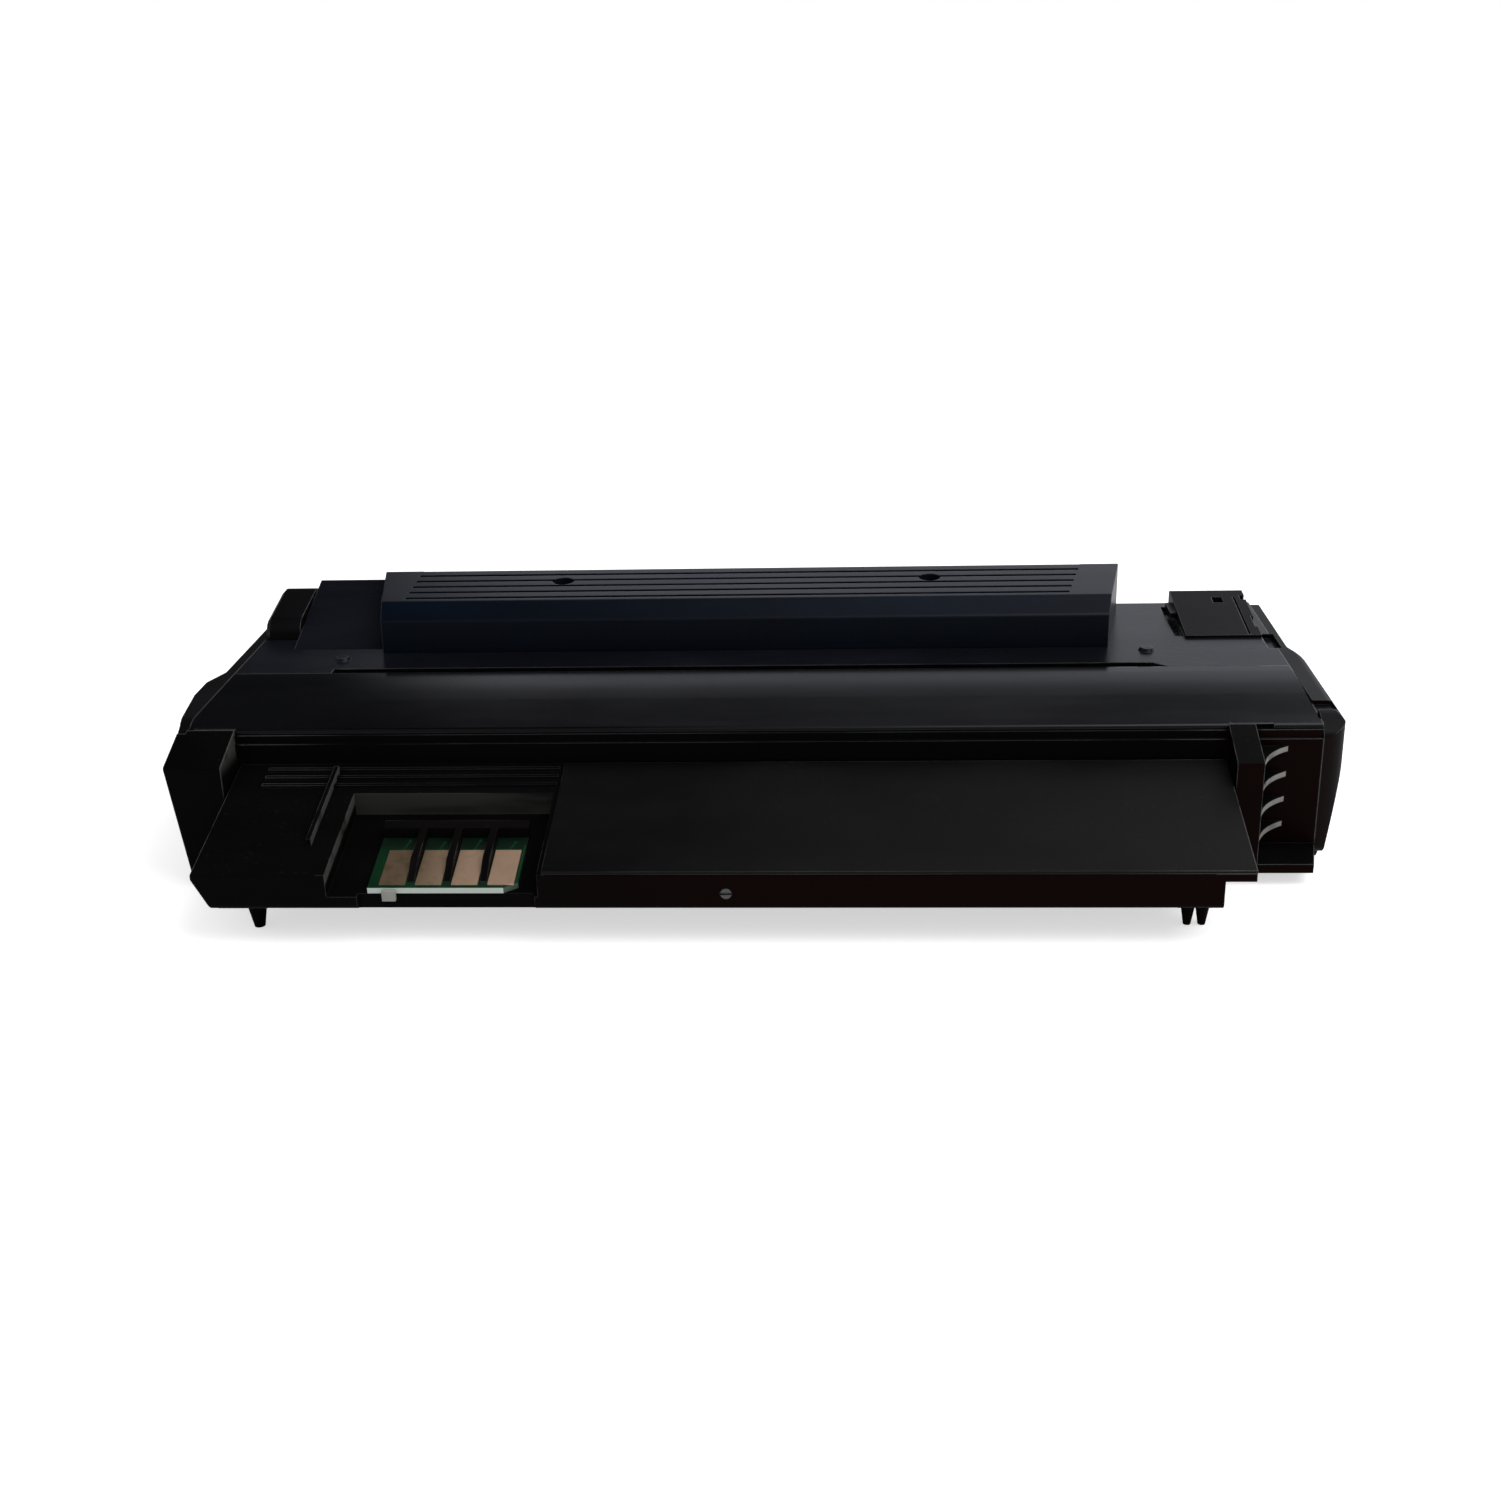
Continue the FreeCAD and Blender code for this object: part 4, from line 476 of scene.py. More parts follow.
def moulded(name, colour, rough, specular, front=None, grain=0.45 * MM, depth=0.012 * MM,
            painted_highlights=None, fall=0.0, mottle=0.12):
    """Moulded black plastic with fine grain, smudges, dust, edges lightened as wear and as painted
    highlights, and painted highlights on chosen faces.

    front gives upright faces in front a colour of painted light, the highlights function says where painted
    highlights go, fall tips the shading forward by an angle, and mottle says how far smudges change the
    roughness.
    """
    plastics = bpy.context.scene.cartridge_plastics
    surface = Surface(name)
    place = surface.parts(surface.point())
    facing = surface.parts(surface.faces())
    grains = surface.noise(grain, detail=2.0, rough=0.6)
    clouds = surface.noise(38.0 * MM, detail=4.0, rough=0.6, stretch=(0.5, 1.0, 1.0))
    streaks = surface.noise(9.0 * MM, detail=3.0, rough=0.65, stretch=(0.12, 1.0, 1.0))
    specks = surface.noise(0.9 * MM, detail=1.0, rough=0.4)
    dark, light = (tinted(colour, tone) for tone in SMUDGE_TONES)
    base = surface.blend(clouds.step(*SMUDGES), dark, light)
    # Painted warm sheen and painted shade on upright faces in front.
    if front is not None:
        base = paint_front_sheen_and_shade(surface, place, facing, base, front)
    upward = facing["Z"].step(*FACES_UP)
    dust = upward * specks.step(*DUST_SPECKS) * clouds.step(*DUST_CLOUDS) * DUST_COVER
    base = surface.blend(dust, base, plastics.dust)
    # Painted highlights on the faces and edges that the function picks, broken up by streaks, white at the
    # right end.
    if painted_highlights is not None:
        highlighted = painted_highlights(surface, place, facing) * streaks.step(*HIGHLIGHT_STREAKS)
        base = surface.blend(highlighted, base, plastics.highlight_colour)
        white = highlighted * place["X"].step(*WHITE_END)
        base = surface.blend(white, base, tinted(plastics.highlight_colour, HIGHLIGHT_WHITENING))
    # Edges lightened as wear and as painted highlights, more towards both ends.
    ends = place["X"].size().step(*WORN_AND_LIT_ENDS)
    polish_and_highlight = (streaks + ends * WORN_AND_LIT_MORE_AT_ENDS).step(*POLISH_AND_HIGHLIGHT_STREAKS) * plastics.wear_and_highlight
    worn_and_lit_edge = surface.edge(plastics.edge_radius) * polish_and_highlight * (WEAR_AND_HIGHLIGHT_MIDDLE + ends * WEAR_AND_HIGHLIGHT_AT_ENDS)
    base = surface.blend(worn_and_lit_edge, base, plastics.worn_and_lit_edge)
    height = grains * (GRAIN_HEIGHT * depth) + place["Y"] * math.tan(fall)
    roughness = rough + (clouds - 0.5) * mottle + (streaks - 0.5) * STREAK_ROUGHNESS
    surface.set(
        Base_Color=base,
        Roughness=roughness - worn_and_lit_edge * WORN_SMOOTHING,
        IOR=1.5,
        Specular_IOR_Level=specular,
        Normal=surface.relief(height, depth=1.0, radius=plastics.edge_radius),
    )
    return surface.material


def hopper_highlights(surface, place, facing):
    """Painted highlights on faces towards the right at the left end, on the recess's back, and on the
    gussets' free edges.
    """
    x, y, z = place["X"], place["Y"], place["Z"]
    frontward = facing["Y"] * -1.0
    low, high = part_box("chip_board")
    slope = math.tan(bpy.context.scene.cartridge_chip.slope)
    plane = (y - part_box("hopper_body")[0][1]) * slope + TONGUE_EDGE_HEIGHT
    high_up = x.step(*LEFT_LOW).either(z.step(*LEFT_HIGH) * LEFT_HIGHLIGHT)
    exposed = (plane - z).step(*TONGUE_REACH) * high_up
    aside = facing["X"].step(*HIGHLIGHT_FACES) * x.step(low[0], low[0] - BOARD_CLEARANCE) * exposed
    recess = x.within(low[0] - RECESS_LEFT, high[0] + RECESS_RIGHT, HIGHLIGHT_SOFT)
    recess = recess * y.within(*RECESS_BACK, RECESS_SOFT)
    back = frontward.step(*HIGHLIGHT_FACES) * recess * RECESS_HIGHLIGHT
    web = facing["X"].step(*WEB_FACES_RIGHT) * frontward.step(*WEB_FACES_FRONT) * x.step(*GUSSET_WEB)
    edge = surface.edge(GUSSET_EDGE_RADIUS) * x.within(*GUSSET_EDGE, HIGHLIGHT_SOFT)
    line = edge * facing["X"].step(*GUSSET_EDGE_FACES)
    return aside.either(back).either(web).either(line)


def ground_steel(name, colour, rough, stretch, grain=0.3 * MM):
    """Metal with fine lines along its stretched direction."""
    surface = Surface(name)
    lines = surface.noise(grain, detail=3.0, rough=0.6, stretch=stretch)
    clouds = surface.noise(12.0 * MM, detail=3.0, rough=0.55)
    surface.set(
        Base_Color=surface.blend(clouds.step(*SMUDGES), tinted(colour, 0.82), colour),
        Metallic=1.0,
        Roughness=rough + (lines - 0.5) * 0.18 + (clouds - 0.5) * 0.10,
        Normal=surface.relief(lines, depth=0.006 * MM, strength=0.5, radius=0.12 * MM),
    )
    return surface.material


def satin_plastic(name, colour, rough):
    """Plain satin plastic of gears, bushes and small holders."""
    surface = Surface(name)
    clouds = surface.noise(7.0 * MM, detail=3.0, rough=0.55)
    grains = surface.noise(1.2 * MM, detail=2.0, rough=0.5)
    surface.set(
        Base_Color=surface.blend(clouds.step(0.30, 0.72), tinted(colour, 0.85), colour),
        Roughness=rough + (clouds - 0.5) * 0.12,
        Specular_IOR_Level=0.4,
        Normal=surface.relief(grains, depth=0.010 * MM, strength=0.4, radius=0.15 * MM),
    )
    return surface.material


class CARTRIDGE_OT_housings(bpy.types.Operator):
    """Finish the hopper, its lid, the tongue plate and the waste housing."""

    bl_idname = "cartridge.housings"
    bl_label = "Finish Housings"

    def execute(self, context):
        plastics = context.scene.cartridge_plastics
        hopper = moulded(
            "hopper_plastic", plastics.body, rough=0.42, specular=0.025,
            front=plastics.front, painted_highlights=hopper_highlights,
        )
        dress(hopper, "hopper_body")
        tongue = moulded("tongue_plastic", plastics.tongue, rough=0.42, specular=0.12, mottle=0.60)
        dress(tongue, "tongue_plate")
        lid = moulded("lid_plastic", plastics.lid, rough=0.145, specular=0.20, fall=plastics.crown)
        dress(lid, "hopper_lid")
        # Painted shade on the waste housing's upright front faces, which are seen in the slit.
        slit_shade = tinted(plastics.shade, SLIT_SHADE_DARKENING)
        # The waste housing's colour, lighter than the lid's, is painted light.
        rear = moulded("rear_plastic", plastics.rear, rough=0.28, specular=0.11, front=slit_shade)
        dress(rear, "waste_housing")
        return {"FINISHED"}


class CARTRIDGE_OT_grip(bpy.types.Operator):
    """Finish the ribbed grip."""

    bl_idname = "cartridge.grip"
    bl_label = "Finish Grip"

    def execute(self, context):
        plastics = context.scene.cartridge_plastics
        grip = moulded(
            "grip_plastic", plastics.grip, rough=0.32, specular=0.12, grain=0.7 * MM, depth=0.02 * MM
        )
        dress(grip, "handle_cover")
        return {"FINISHED"}


class CARTRIDGE_OT_ends(bpy.types.Operator):
    """Finish the end caps and the covers at the rear corners."""

    bl_idname = "cartridge.ends"
    bl_label = "Finish Ends"

    def execute(self, context):
        plastics = context.scene.cartridge_plastics
        cap = moulded("cap_plastic", plastics.cap, rough=0.44, specular=0.08, front=plastics.front)
        dress(cap, "left_end_cap", "right_end_cap", "gear_cover", "contact_cover")
        return {"FINISHED"}


class CARTRIDGE_OT_fasteners(bpy.types.Operator):
    """Finish the screws and the round catch in the front."""

    bl_idname = "cartridge.fasteners"
    bl_label = "Finish Fasteners"

    def execute(self, context):
        works = context.scene.cartridge_works
        zinc = ground_steel("zinc_screw", works.steel, rough=0.28, stretch=(1.0, 1.0, 0.3))
        dress(zinc, "handle_screws", "cap_screws", "blade_screws")
        grey = tinted(works.steel, CATCH_DARKENING)
        dull = ground_steel("dull_catch", grey, rough=0.42, stretch=(1.0, 1.0, 1.0))
        dress(dull, "front_catch")
        return {"FINISHED"}


class CARTRIDGE_OT_chip(bpy.types.Operator):
    """Finish the circuit board, its pads, the comb between them and the tab."""

    bl_idname = "cartridge.chip"
    bl_label = "Finish Chip"

    def execute(self, context):
        chip = context.scene.cartridge_chip
        dress(self.board(chip), "chip_board")
        dress(self.pads(chip), "chip_pads")
        comb = moulded("comb_plastic", chip.comb, rough=0.50, specular=0.02, grain=0.3 * MM)
        dress(comb, "chip_guard")
        dress(satin_plastic("tab_plastic", chip.tab, rough=0.45), "chip_latch")
        return {"FINISHED"}

    def board(self, chip):
        """Green lacquer over a woven laminate whose cut edges show pale."""
        surface = Surface("board_lacquer")
        place = surface.parts(surface.point())
        turns = math.tau / WEAVE_PITCH
        weave = (place["X"] * turns).run("SINE") * (place["Y"] * turns).run("SINE") * 0.5 + 0.5
        clouds = surface.noise(5.0 * MM, detail=3.0, rough=0.5)
        lacquer = surface.blend(clouds.step(0.3, 0.7), tinted(chip.mask, 0.7), chip.mask)
        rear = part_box("chip_pads")[1][1]
        behind = place["Y"].step(*(rear + edge for edge in SHADE_BEHIND_PADS)) * 0.7
        lacquer = surface.blend(behind, lacquer, chip.shaded)
        side = (surface.parts(surface.faces())["Y"] * -1.0).step(0.85, 0.95)
        surface.set(
            Base_Color=surface.blend(side, lacquer, chip.laminate),
            Roughness=0.30 + side * 0.35 + (clouds - 0.5) * 0.12,
            Specular_IOR_Level=0.4,
            Normal=surface.relief(weave, depth=0.010 * MM, strength=0.5, radius=0.10 * MM),
        )
        return surface.material

    def pads(self, chip):
        """Gold plate with contact scratches along the board, patches of dull film, and darker and duller
        towards the left.
        """
        surface = Surface("pad_plating")
        scratches = surface.noise(0.35 * MM, detail=3.0, rough=0.6, stretch=(1.0, 0.08, 1.0))
        film = surface.noise(3.5 * MM, detail=3.0, rough=0.6)
        low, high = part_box("chip_pads")
        along = surface.parts(surface.point())["X"]
        left = along.step(high[0] - DIM_FROM_RIGHT, low[0] + DIM_TO_LEFT)
        dull = film.step(0.45, 0.70) * 0.15 + left * 0.85
        surface.set(
            Base_Color=surface.blend(dull, chip.gold, chip.dim_gold),
            Metallic=0.85,
            Roughness=0.40 + film * 0.10 - scratches.step(0.60, 0.75) * 0.12,
            Normal=surface.relief(scratches, depth=0.006 * MM, strength=0.5),
        )
        return surface.material


class CARTRIDGE_OT_drum(bpy.types.Operator):
    """Finish the drum, its flange and its shaft."""

    bl_idname = "cartridge.drum"
    bl_label = "Finish Drum"

    def execute(self, context):
        works = context.scene.cartridge_works
        dress(self.coating(works), "drum_tube")
        dress(satin_plastic("flange_plastic", works.flange, rough=0.38), "drum_flange")
        steel = ground_steel("ground_shaft", works.steel, rough=0.22, stretch=(0.1, 1.0, 1.0))
        dress(steel, "drum_shaft", "developer_shaft", "supply_shaft", "charge_shaft", "idler_post")
        return {"FINISHED"}

    def coating(self, works):
        """Glossy coating with fine rings, less glossy and bare towards both ends."""
        surface = Surface("drum_coating")
        bands = surface.noise(16.0 * MM, detail=3.0, rough=0.5, stretch=(1.0, 0.05, 0.05))
        fine = surface.noise(1.1 * MM, detail=2.0, rough=0.5, stretch=(1.0, 0.04, 0.04))
        end = surface.parts(surface.point())["X"].size().step(*DRUM_BARE)
        base = surface.blend(bands.step(0.3, 0.7), tinted(works.drum, 0.85), works.drum)
        surface.set(
            Base_Color=surface.blend(end * 0.5, base, works.drum_ends),
            Roughness=0.16 + (fine - 0.5) * 0.10 + end * 0.15,
            Specular_IOR_Level=0.5,
            Coat_Weight=0.45,
            Coat_Roughness=0.06,
            Normal=surface.relief(fine, depth=0.002 * MM, strength=0.4),
        )
        return surface.material


class CARTRIDGE_OT_rollers(bpy.types.Operator):
    """Finish the developer sleeve, the foam and rubber rollers, and the stirrer."""

    bl_idname = "cartridge.rollers"
    bl_label = "Finish Rollers"

    def execute(self, context):
        works = context.scene.cartridge_works
        dress(self.sleeve(works), "developer_sleeve")
        foam = self.soft("supply_foam_skin", works.foam, rough=0.9, pore=0.7 * MM, depth=0.16 * MM)
        dress(foam, "supply_foam")
        rubber = self.soft("charge_rubber_skin", works.rubber, rough=0.42, pore=0.25 * MM, depth=0.010 * MM)
        dress(rubber, "charge_rubber")
        dress(satin_plastic("stirrer_plastic", works.stirrer, rough=0.45), "agitator_shaft")
        dress(self.film(works), "agitator_film")
        return {"FINISHED"}

    def sleeve(self, works):
        """Blasted dark sleeve with toner left on it."""
        surface = Surface("blasted_sleeve")
        blast = surface.noise(0.18 * MM, detail=2.0, rough=0.6)
        toner = surface.noise(10.0 * MM, detail=4.0, rough=0.6, stretch=(1.0, 0.3, 0.3)).step(0.40, 0.65)
        surface.set(
            Base_Color=surface.blend(toner, works.sleeve, works.toner),
            Metallic=0.55,
            Roughness=0.45 + toner * 0.25,
            Normal=surface.relief(blast, depth=0.012 * MM, strength=0.6),
        )
        return surface.material

    def soft(self, name, colour, rough, pore, depth):
        """Rubber or foam with pores of one size."""
        surface = Surface(name)
        pores = surface.noise(pore, detail=3.0, rough=0.65)
        clouds = surface.noise(14.0 * MM, detail=3.0, rough=0.5)
        surface.set(
            Base_Color=surface.blend(pores.step(0.35, 0.60), tinted(colour, 0.45), colour),
            Roughness=rough + (clouds - 0.5) * 0.10,
            Specular_IOR_Level=0.25,
            Normal=surface.relief(pores, depth=depth, strength=0.8),
        )
        return surface.material

    def film(self, works):
        """Milky flexible sheet with toner streaks."""
        surface = Surface("stirrer_film")
        streaks = surface.noise(5.0 * MM, detail=3.0, rough=0.6, stretch=(1.0, 0.2, 0.2))
        base = surface.blend(streaks.step(0.45, 0.70), works.sheet, works.sheet_soil)
        surface.set(Base_Color=base, Roughness=0.25 + streaks * 0.2, Specular_IOR_Level=0.5)
        return surface.material


class CARTRIDGE_OT_gears(bpy.types.Operator):
    """Finish the gears, bushes, holders and the plug."""

    bl_idname = "cartridge.gears"
    bl_label = "Finish Gears"

    def execute(self, context):
        works = context.scene.cartridge_works
        acetal = satin_plastic("gear_acetal", works.acetal, rough=0.36)
        dress(acetal, "drum_gear", "developer_gear", "supply_gear", "idler_gear", "agitator_gear")
        bush = satin_plastic("bush_plastic", works.bush, rough=0.42)
        dress(bush, "developer_bushes", "supply_bushes", "charge_holders")
        dress(satin_plastic("plug_plastic", works.plug, rough=0.48), "toner_plug")
        return {"FINISHED"}


class CARTRIDGE_OT_blades(bpy.types.Operator):
    """Finish the folded brackets, blades, seals, springs and terminals."""

    bl_idname = "cartridge.blades"
    bl_label = "Finish Blades"

    def execute(self, context):
        works = context.scene.cartridge_works
        sheet = ground_steel(
            "zinc_sheet", works.steel, rough=0.34, stretch=(0.15, 1.0, 1.0), grain=0.5 * MM
        )
        dress(sheet, "doctor_bracket", "wiper_bracket")
        wire = ground_steel("spring_wire", works.wire, rough=0.25, stretch=(1.0, 1.0, 1.0), grain=0.2 * MM)
        dress(wire, "charge_springs", "contact_plates")
        dress(self.blade(works), "doctor_blade", "wiper_blade")
        dress(self.felt(works), "end_seals")
        return {"FINISHED"}

    def blade(self, works):
        """Translucent polyurethane with toner on it in clouds."""
        surface = Surface("blade_urethane")
        clouds = surface.noise(6.0 * MM, detail=3.0, rough=0.55, stretch=(0.4, 1.0, 1.0))
        surface.set(
            Base_Color=surface.blend(clouds.step(0.45, 0.75), works.amber, tinted(works.amber, 0.35)),
            Roughness=0.22 + clouds * 0.15,
            Specular_IOR_Level=0.5,
            Subsurface_Weight=0.15,
            Subsurface_Radius=(0.6 * MM, 0.4 * MM, 0.2 * MM),
        )
        return surface.material

    def felt(self, works):
        """Pressed fibres with toner worked into them."""
        surface = Surface("seal_felt")
        fibres = surface.noise(0.5 * MM, detail=4.0, rough=0.7, stretch=(0.3, 1.0, 1.0))
        soil = surface.noise(4.0 * MM, detail=3.0, rough=0.6)
        surface.set(
            Base_Color=surface.blend(soil.step(0.35, 0.65), works.felt, works.felt_soil),
            Roughness=0.95,
            Specular_IOR_Level=0.1,
            Sheen_Weight=0.3,
            Normal=surface.relief(fibres, depth=0.12 * MM, strength=0.9),
        )
        return surface.material


def mesh_piece(name, shape, material, body="cartridge"):
    """Object from a finished bmesh, riding on a body."""
    mesh = bpy.data.meshes.new(name)
    shape.to_mesh(mesh)
    shape.free()
    piece = bpy.data.objects.new(name, mesh)
    bpy.context.scene.collection.objects.link(piece)
    mesh.materials.append(material)
    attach(piece, body)
    return piece


def plate_on_slope(shape, corners, height, top):
    """Thin closed plate whose plan is given and whose underside lies on a slope."""
    low = [shape.verts.new((x, y, top(y))) for x, y in corners]
    high = [shape.verts.new((x, y, top(y) + height)) for x, y in corners]
    shape.faces.new(list(reversed(low)))
    shape.faces.new(high)
    for i, first in enumerate(low):
        j = (i + 1) % len(low)
        shape.faces.new((first, low[j], high[j], high[i]))


class CARTRIDGE_OT_tracks(bpy.types.Operator):
    """Add the printed tracks and through-plated eyes of the board."""

    bl_idname = "cartridge.tracks"
    bl_label = "Add Board Tracks"

    def execute(self, context):
        chip = context.scene.cartridge_chip
        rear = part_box("chip_board")[1]
        slope = math.tan(chip.slope)
        pads_low, pads_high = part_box("chip_pads")

        def top(y):
            return rear[2] - (rear[1] - y) * slope

        shape = bmesh.new()
        half = chip.track_width / 2
        pitch = (pads_high[0] - pads_low[0] - chip.pad_width) / (chip.pad_count - 1)
        for i in range(chip.pad_count):
            left = pads_low[0] + i * pitch
            middle = left + chip.pad_width / 2
            stop = rear[1] - (EYE_INSET + EYE_STAGGER * (i % 2))
            self.track(shape, (middle, pads_high[1]), (middle + TRACK_SWAY, stop), half, top)
            self.eye(shape, middle + TRACK_SWAY, stop, EYE_SIZE * half, top)
            gap = left + chip.pad_width + TRACK_GAP
            self.track(shape, (gap, pads_low[1] + TRACK_SETBACK), (gap, stop - TRACK_SETBACK), half, top)
        mesh_piece("board_tracks", shape, self.lacquer(chip))
        return {"FINISHED"}

    def lacquer(self, chip):
        """Green lacquer, paler over the copper."""
        surface = Surface("track_lacquer")
        shade = surface.noise(2.0 * MM, detail=2.0, rough=0.5)
        surface.set(
            Base_Color=surface.blend(shade, chip.mask, tinted(chip.mask, 1.7)),
            Roughness=0.28 + shade * 0.1,
            Specular_IOR_Level=0.45,
        )
        return surface.material

    def track(self, shape, start, stop, half, top):
        """Straight track between two places."""
        along = Vector((stop[0] - start[0], stop[1] - start[1])).normalized()
        across = Vector((-along.y, along.x)) * half
        corners = [
            (start[0] - across.x, start[1] - across.y),
            (stop[0] - across.x, stop[1] - across.y),
            (stop[0] + across.x, stop[1] + across.y),
            (start[0] + across.x, start[1] + across.y),
        ]
        plate_on_slope(shape, corners, TRACK_HEIGHT, top)

    def eye(self, shape, x, y, radius, top):
        """Round eye at the end of a track."""
        corners = []
        for i in range(EYE_CORNERS):
            turn = math.tau * i / EYE_CORNERS
            corners.append((x + radius * math.cos(turn), y + radius * math.sin(turn)))
        plate_on_slope(shape, corners, EYE_HEIGHT, top)


def bent_sheet(points, thickness, half_length):
    """Thin sheet along X whose section follows the points."""
    shape = bmesh.new()
    loops = []
    for side in (-1, 1):
        loop = []
        for i, (y, z) in enumerate(points):
            before = Vector(points[max(i - 1, 0)])
            after = Vector(points[min(i + 1, len(points) - 1)])
            along = (after - before).normalized()
            across = Vector((-along.y, along.x)) * thickness / 2
            loop.append((y + across.x, z + across.y))
            loop.insert(0, (y - across.x, z - across.y))
        loops.append([shape.verts.new((side * half_length, y, z)) for y, z in loop])
    left, right = loops
    for i, first in enumerate(left):
        j = (i + 1) % len(left)
        shape.faces.new((first, left[j], right[j], right[i]))
    shape.faces.new(list(reversed(left)))
    shape.faces.new(right)
    bmesh.ops.recalc_face_normals(shape, faces=shape.faces)
    return shape


class CARTRIDGE_OT_film(bpy.types.Operator):
    """Add the thin film that closes the gap below the drum."""

    bl_idname = "cartridge.film"
    bl_label = "Add Sealing Film"

    def execute(self, context):
        drum_low, drum_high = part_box("drum_tube")
        half = (drum_high[0] - drum_low[0]) / 2 - FILM_SHORTER
        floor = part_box("waste_housing")[0][2] + HOUSING_FLOOR
        bend_y = drum_high[1] + FILM_BEHIND_DRUM
        bend_z = floor + FILM_ABOVE_FLOOR
        points = [(bend_y + y * MM, bend_z + z * MM) for y, z in FILM_SECTION]
        material = self.haze(context.scene.cartridge_works)
        mesh_piece("recovery_film", bent_sheet(points, FILM_THICKNESS, half), material)
        return {"FINISHED"}

    def haze(self, works):
        """Smooth dark film with a faint haze."""
        surface = Surface("sealing_film")
        haze = surface.noise(8.0 * MM, detail=3.0, rough=0.6, stretch=(0.3, 1.0, 1.0))
        surface.set(
            Base_Color=surface.blend(haze.step(0.4, 0.7), works.film, tinted(works.film, 0.4)),
            Roughness=0.18 + haze * 0.2,
            Specular_IOR_Level=0.5,
        )
        return surface.material


class CARTRIDGE_OT_studio(bpy.types.Operator):
    """Set up the floor, the light and the camera."""

    bl_idname = "cartridge.studio"
    bl_label = "Set Up Studio"

    def execute(self, context):
        studio = context.scene.cartridge_studio
        self.camera(context, studio)
        self.room(context, studio)
        self.ground(context, studio)
        self.lamp(context, "key_light", KEY_PLACE, KEY_SIZE, studio.key)
        self.lamp(context, "rim_light", RIM_PLACE, RIM_SIZE, studio.rim)
        context.scene.view_settings.view_transform = "Standard"
        return {"FINISHED"}

    def camera(self, context, studio):
        """Camera at the photograph's place and angle."""
        data = bpy.data.cameras.new("camera")
        data.lens = studio.lens
        data.sensor_width = SENSOR_WIDTH
        data.clip_start = NEAR_CLIP
        camera = bpy.data.objects.new("camera", data)
        context.scene.collection.objects.link(camera)
        sin_yaw, cos_yaw = math.sin(studio.yaw), math.cos(studio.yaw)
        sin_pitch, cos_pitch = math.sin(studio.pitch), math.cos(studio.pitch)
        sin_roll, cos_roll = math.sin(studio.roll), math.cos(studio.roll)
        forward = Vector((-sin_yaw * cos_pitch, cos_yaw * cos_pitch, -sin_pitch))
        level = Vector((cos_yaw, sin_yaw, 0.0))
        upright = level.cross(forward)
        right = cos_roll * level + sin_roll * upright
        up = cos_roll * upright - sin_roll * level
        turn = Matrix((right, up, -forward)).transposed().to_4x4()
        camera.matrix_world = Matrix.Translation(studio.eye) @ turn
        context.scene.camera = camera

    def mirrored(self, finish):
        """What glossy and transparent rays meet.

        A white horizon beyond the object, except at the left. A ceiling that is dim at the left and
        grows lighter upwards at the right. Grey walls at both sides and on the camera's side.
        """
        aim = finish.parts(finish.node("ShaderNodeTexCoord")["Generated"])
        low = aim["Z"].step(*HORIZON_TOP) * aim["Y"].step(*HORIZON_FRONT)
        horizon = low * (HORIZON_REST + aim["X"].step(*HORIZON_LEFT) * (1.0 - HORIZON_REST))
        first, second, third = CEILING_LEVELS
        levels = first + aim["Z"].step(*CEILING_LOW) * second + aim["Z"].step(*CEILING_HIGH) * third
        ceiling = ROOM_REST + aim["X"].step(*CEILING_LEFT) * levels
        around = aim["Y"].step(*CAMERA_SIDE).either(aim["X"].size().step(*SIDES))
        walls = around * aim["Z"].step(*WALL_FOOT) * WALL_LEVEL
        return horizon * (1.0 - ceiling) + ceiling + walls

    def room(self, context, studio):
        """White for the camera, plain light all round for diffuse rays, mirrored() for the others."""
        world = bpy.data.worlds.new("room")
        world.use_nodes = True
        context.scene.world = world
        finish = Finish(world.node_tree)
        path = finish.node("ShaderNodeLightPath")
        shown = path["Is Camera Ray"]
        glossy = path["Is Glossy Ray"].either(path["Is Transmission Ray"])
        others = glossy * self.mirrored(finish) + (1.0 - glossy) * studio.room
        level = shown + (1.0 - shown) * others
        colour = finish.blend(glossy * (1.0 - shown), (1.0, 1.0, 1.0), studio.sky)
        background = finish.node("ShaderNodeBackground", None, {"Color": colour, "Strength": level})
        finish.node("ShaderNodeOutputWorld", None, {"Surface": background["Background"]})

    def ground(self, context, studio):
        """Pale floor that keeps the shadow and reads as white round it."""
        shape = bmesh.new()
        bmesh.ops.create_grid(shape, x_segments=8, y_segments=8, size=studio.floor_size / 2)
        mesh = bpy.data.meshes.new("floor")
        shape.to_mesh(mesh)
        shape.free()
        floor = bpy.data.objects.new("floor", mesh)
        context.scene.collection.objects.link(floor)
        material = bpy.data.materials.new("floor_paint")
        material.use_nodes = True
        finish = Finish(material.node_tree)
        mottle = finish.noise(120.0 * MM, detail=3.0, rough=0.5)
        paint = finish.blend(mottle, studio.floor, tinted(studio.floor, 1.02))
        matt = finish.node("ShaderNodeBsdfDiffuse", None, {"Color": paint})["BSDF"]
        strength = finish.node("ShaderNodeLightPath")["Is Camera Ray"] * studio.floor_glow
        glow = finish.node("ShaderNodeEmission", None, {"Strength": strength})["Emission"]
        both = finish.node("ShaderNodeAddShader", None, {0: matt, 1: glow})["Shader"]
        finish.node("ShaderNodeOutputMaterial", None, {"Surface": both})
        mesh.materials.append(material)

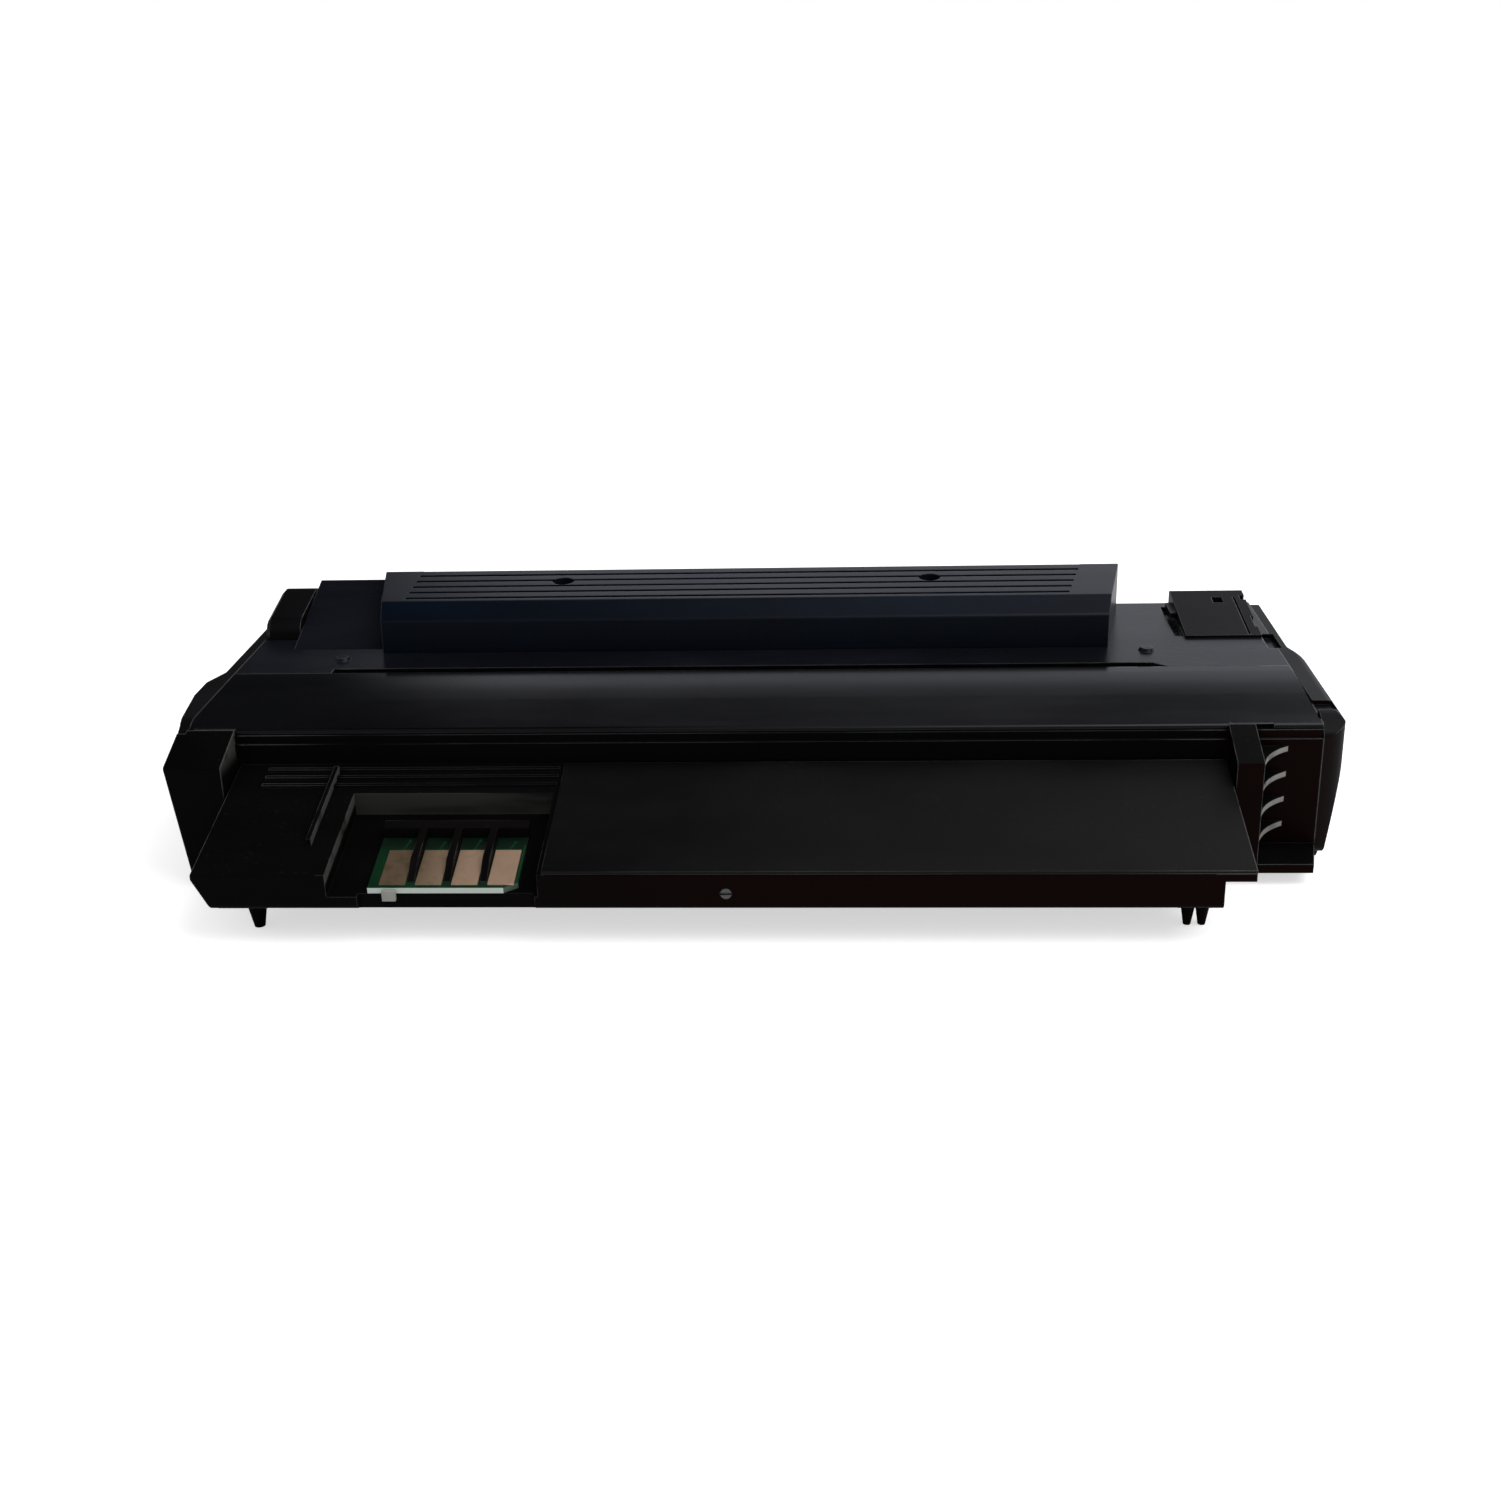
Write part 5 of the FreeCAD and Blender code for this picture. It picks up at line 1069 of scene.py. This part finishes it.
    def lamp(self, context, name, place, size, power):
        """Soft square lamp aimed at the middle of the object."""
        data = bpy.data.lights.new(name, "AREA")
        data.shape = "SQUARE"
        data.size = size
        data.energy = power
        lamp = bpy.data.objects.new(name, data)
        context.scene.collection.objects.link(lamp)
        lamp.location = place
        aim = Vector(LAMP_AIM) - Vector(place)
        lamp.rotation_euler = aim.to_track_quat("-Z", "Y").to_euler()


OPERATORS = (
    CARTRIDGE_OT_housings,
    CARTRIDGE_OT_grip,
    CARTRIDGE_OT_ends,
    CARTRIDGE_OT_fasteners,
    CARTRIDGE_OT_chip,
    CARTRIDGE_OT_tracks,
    CARTRIDGE_OT_drum,
    CARTRIDGE_OT_rollers,
    CARTRIDGE_OT_gears,
    CARTRIDGE_OT_blades,
    CARTRIDGE_OT_film,
    CARTRIDGE_OT_studio,
)


class CARTRIDGE_PT_sidebar(bpy.types.Panel):
    """Buttons of all pieces, and the values behind them."""

    bl_idname = "CARTRIDGE_PT_sidebar"
    bl_label = "Toner Cartridge"
    bl_space_type = "VIEW_3D"
    bl_region_type = "UI"
    bl_category = "Cartridge"

    def draw(self, context):
        for operator in OPERATORS:
            self.layout.operator(operator.bl_idname)
        for name, group in GROUPS.items():
            box = self.layout.box()
            values = getattr(context.scene, name)
            for entry in group.__annotations__:
                box.prop(values, entry)


def register():
    for group in GROUPS.values():
        bpy.utils.register_class(group)
    for operator in OPERATORS:
        bpy.utils.register_class(operator)
    bpy.utils.register_class(CARTRIDGE_PT_sidebar)
    for name, group in GROUPS.items():
        setattr(bpy.types.Scene, name, bpy.props.PointerProperty(type=group))


def unregister():
    for name in GROUPS:
        delattr(bpy.types.Scene, name)
    bpy.utils.unregister_class(CARTRIDGE_PT_sidebar)
    for operator in reversed(OPERATORS):
        bpy.utils.unregister_class(operator)
    for group in reversed(GROUPS.values()):
        bpy.utils.unregister_class(group)


def main():
    """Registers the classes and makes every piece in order."""
    register()
    for operator in OPERATORS:
        family, action = operator.bl_idname.split(".")
        getattr(getattr(bpy.ops, family), action)()


if __name__ == "__main__":
    main()
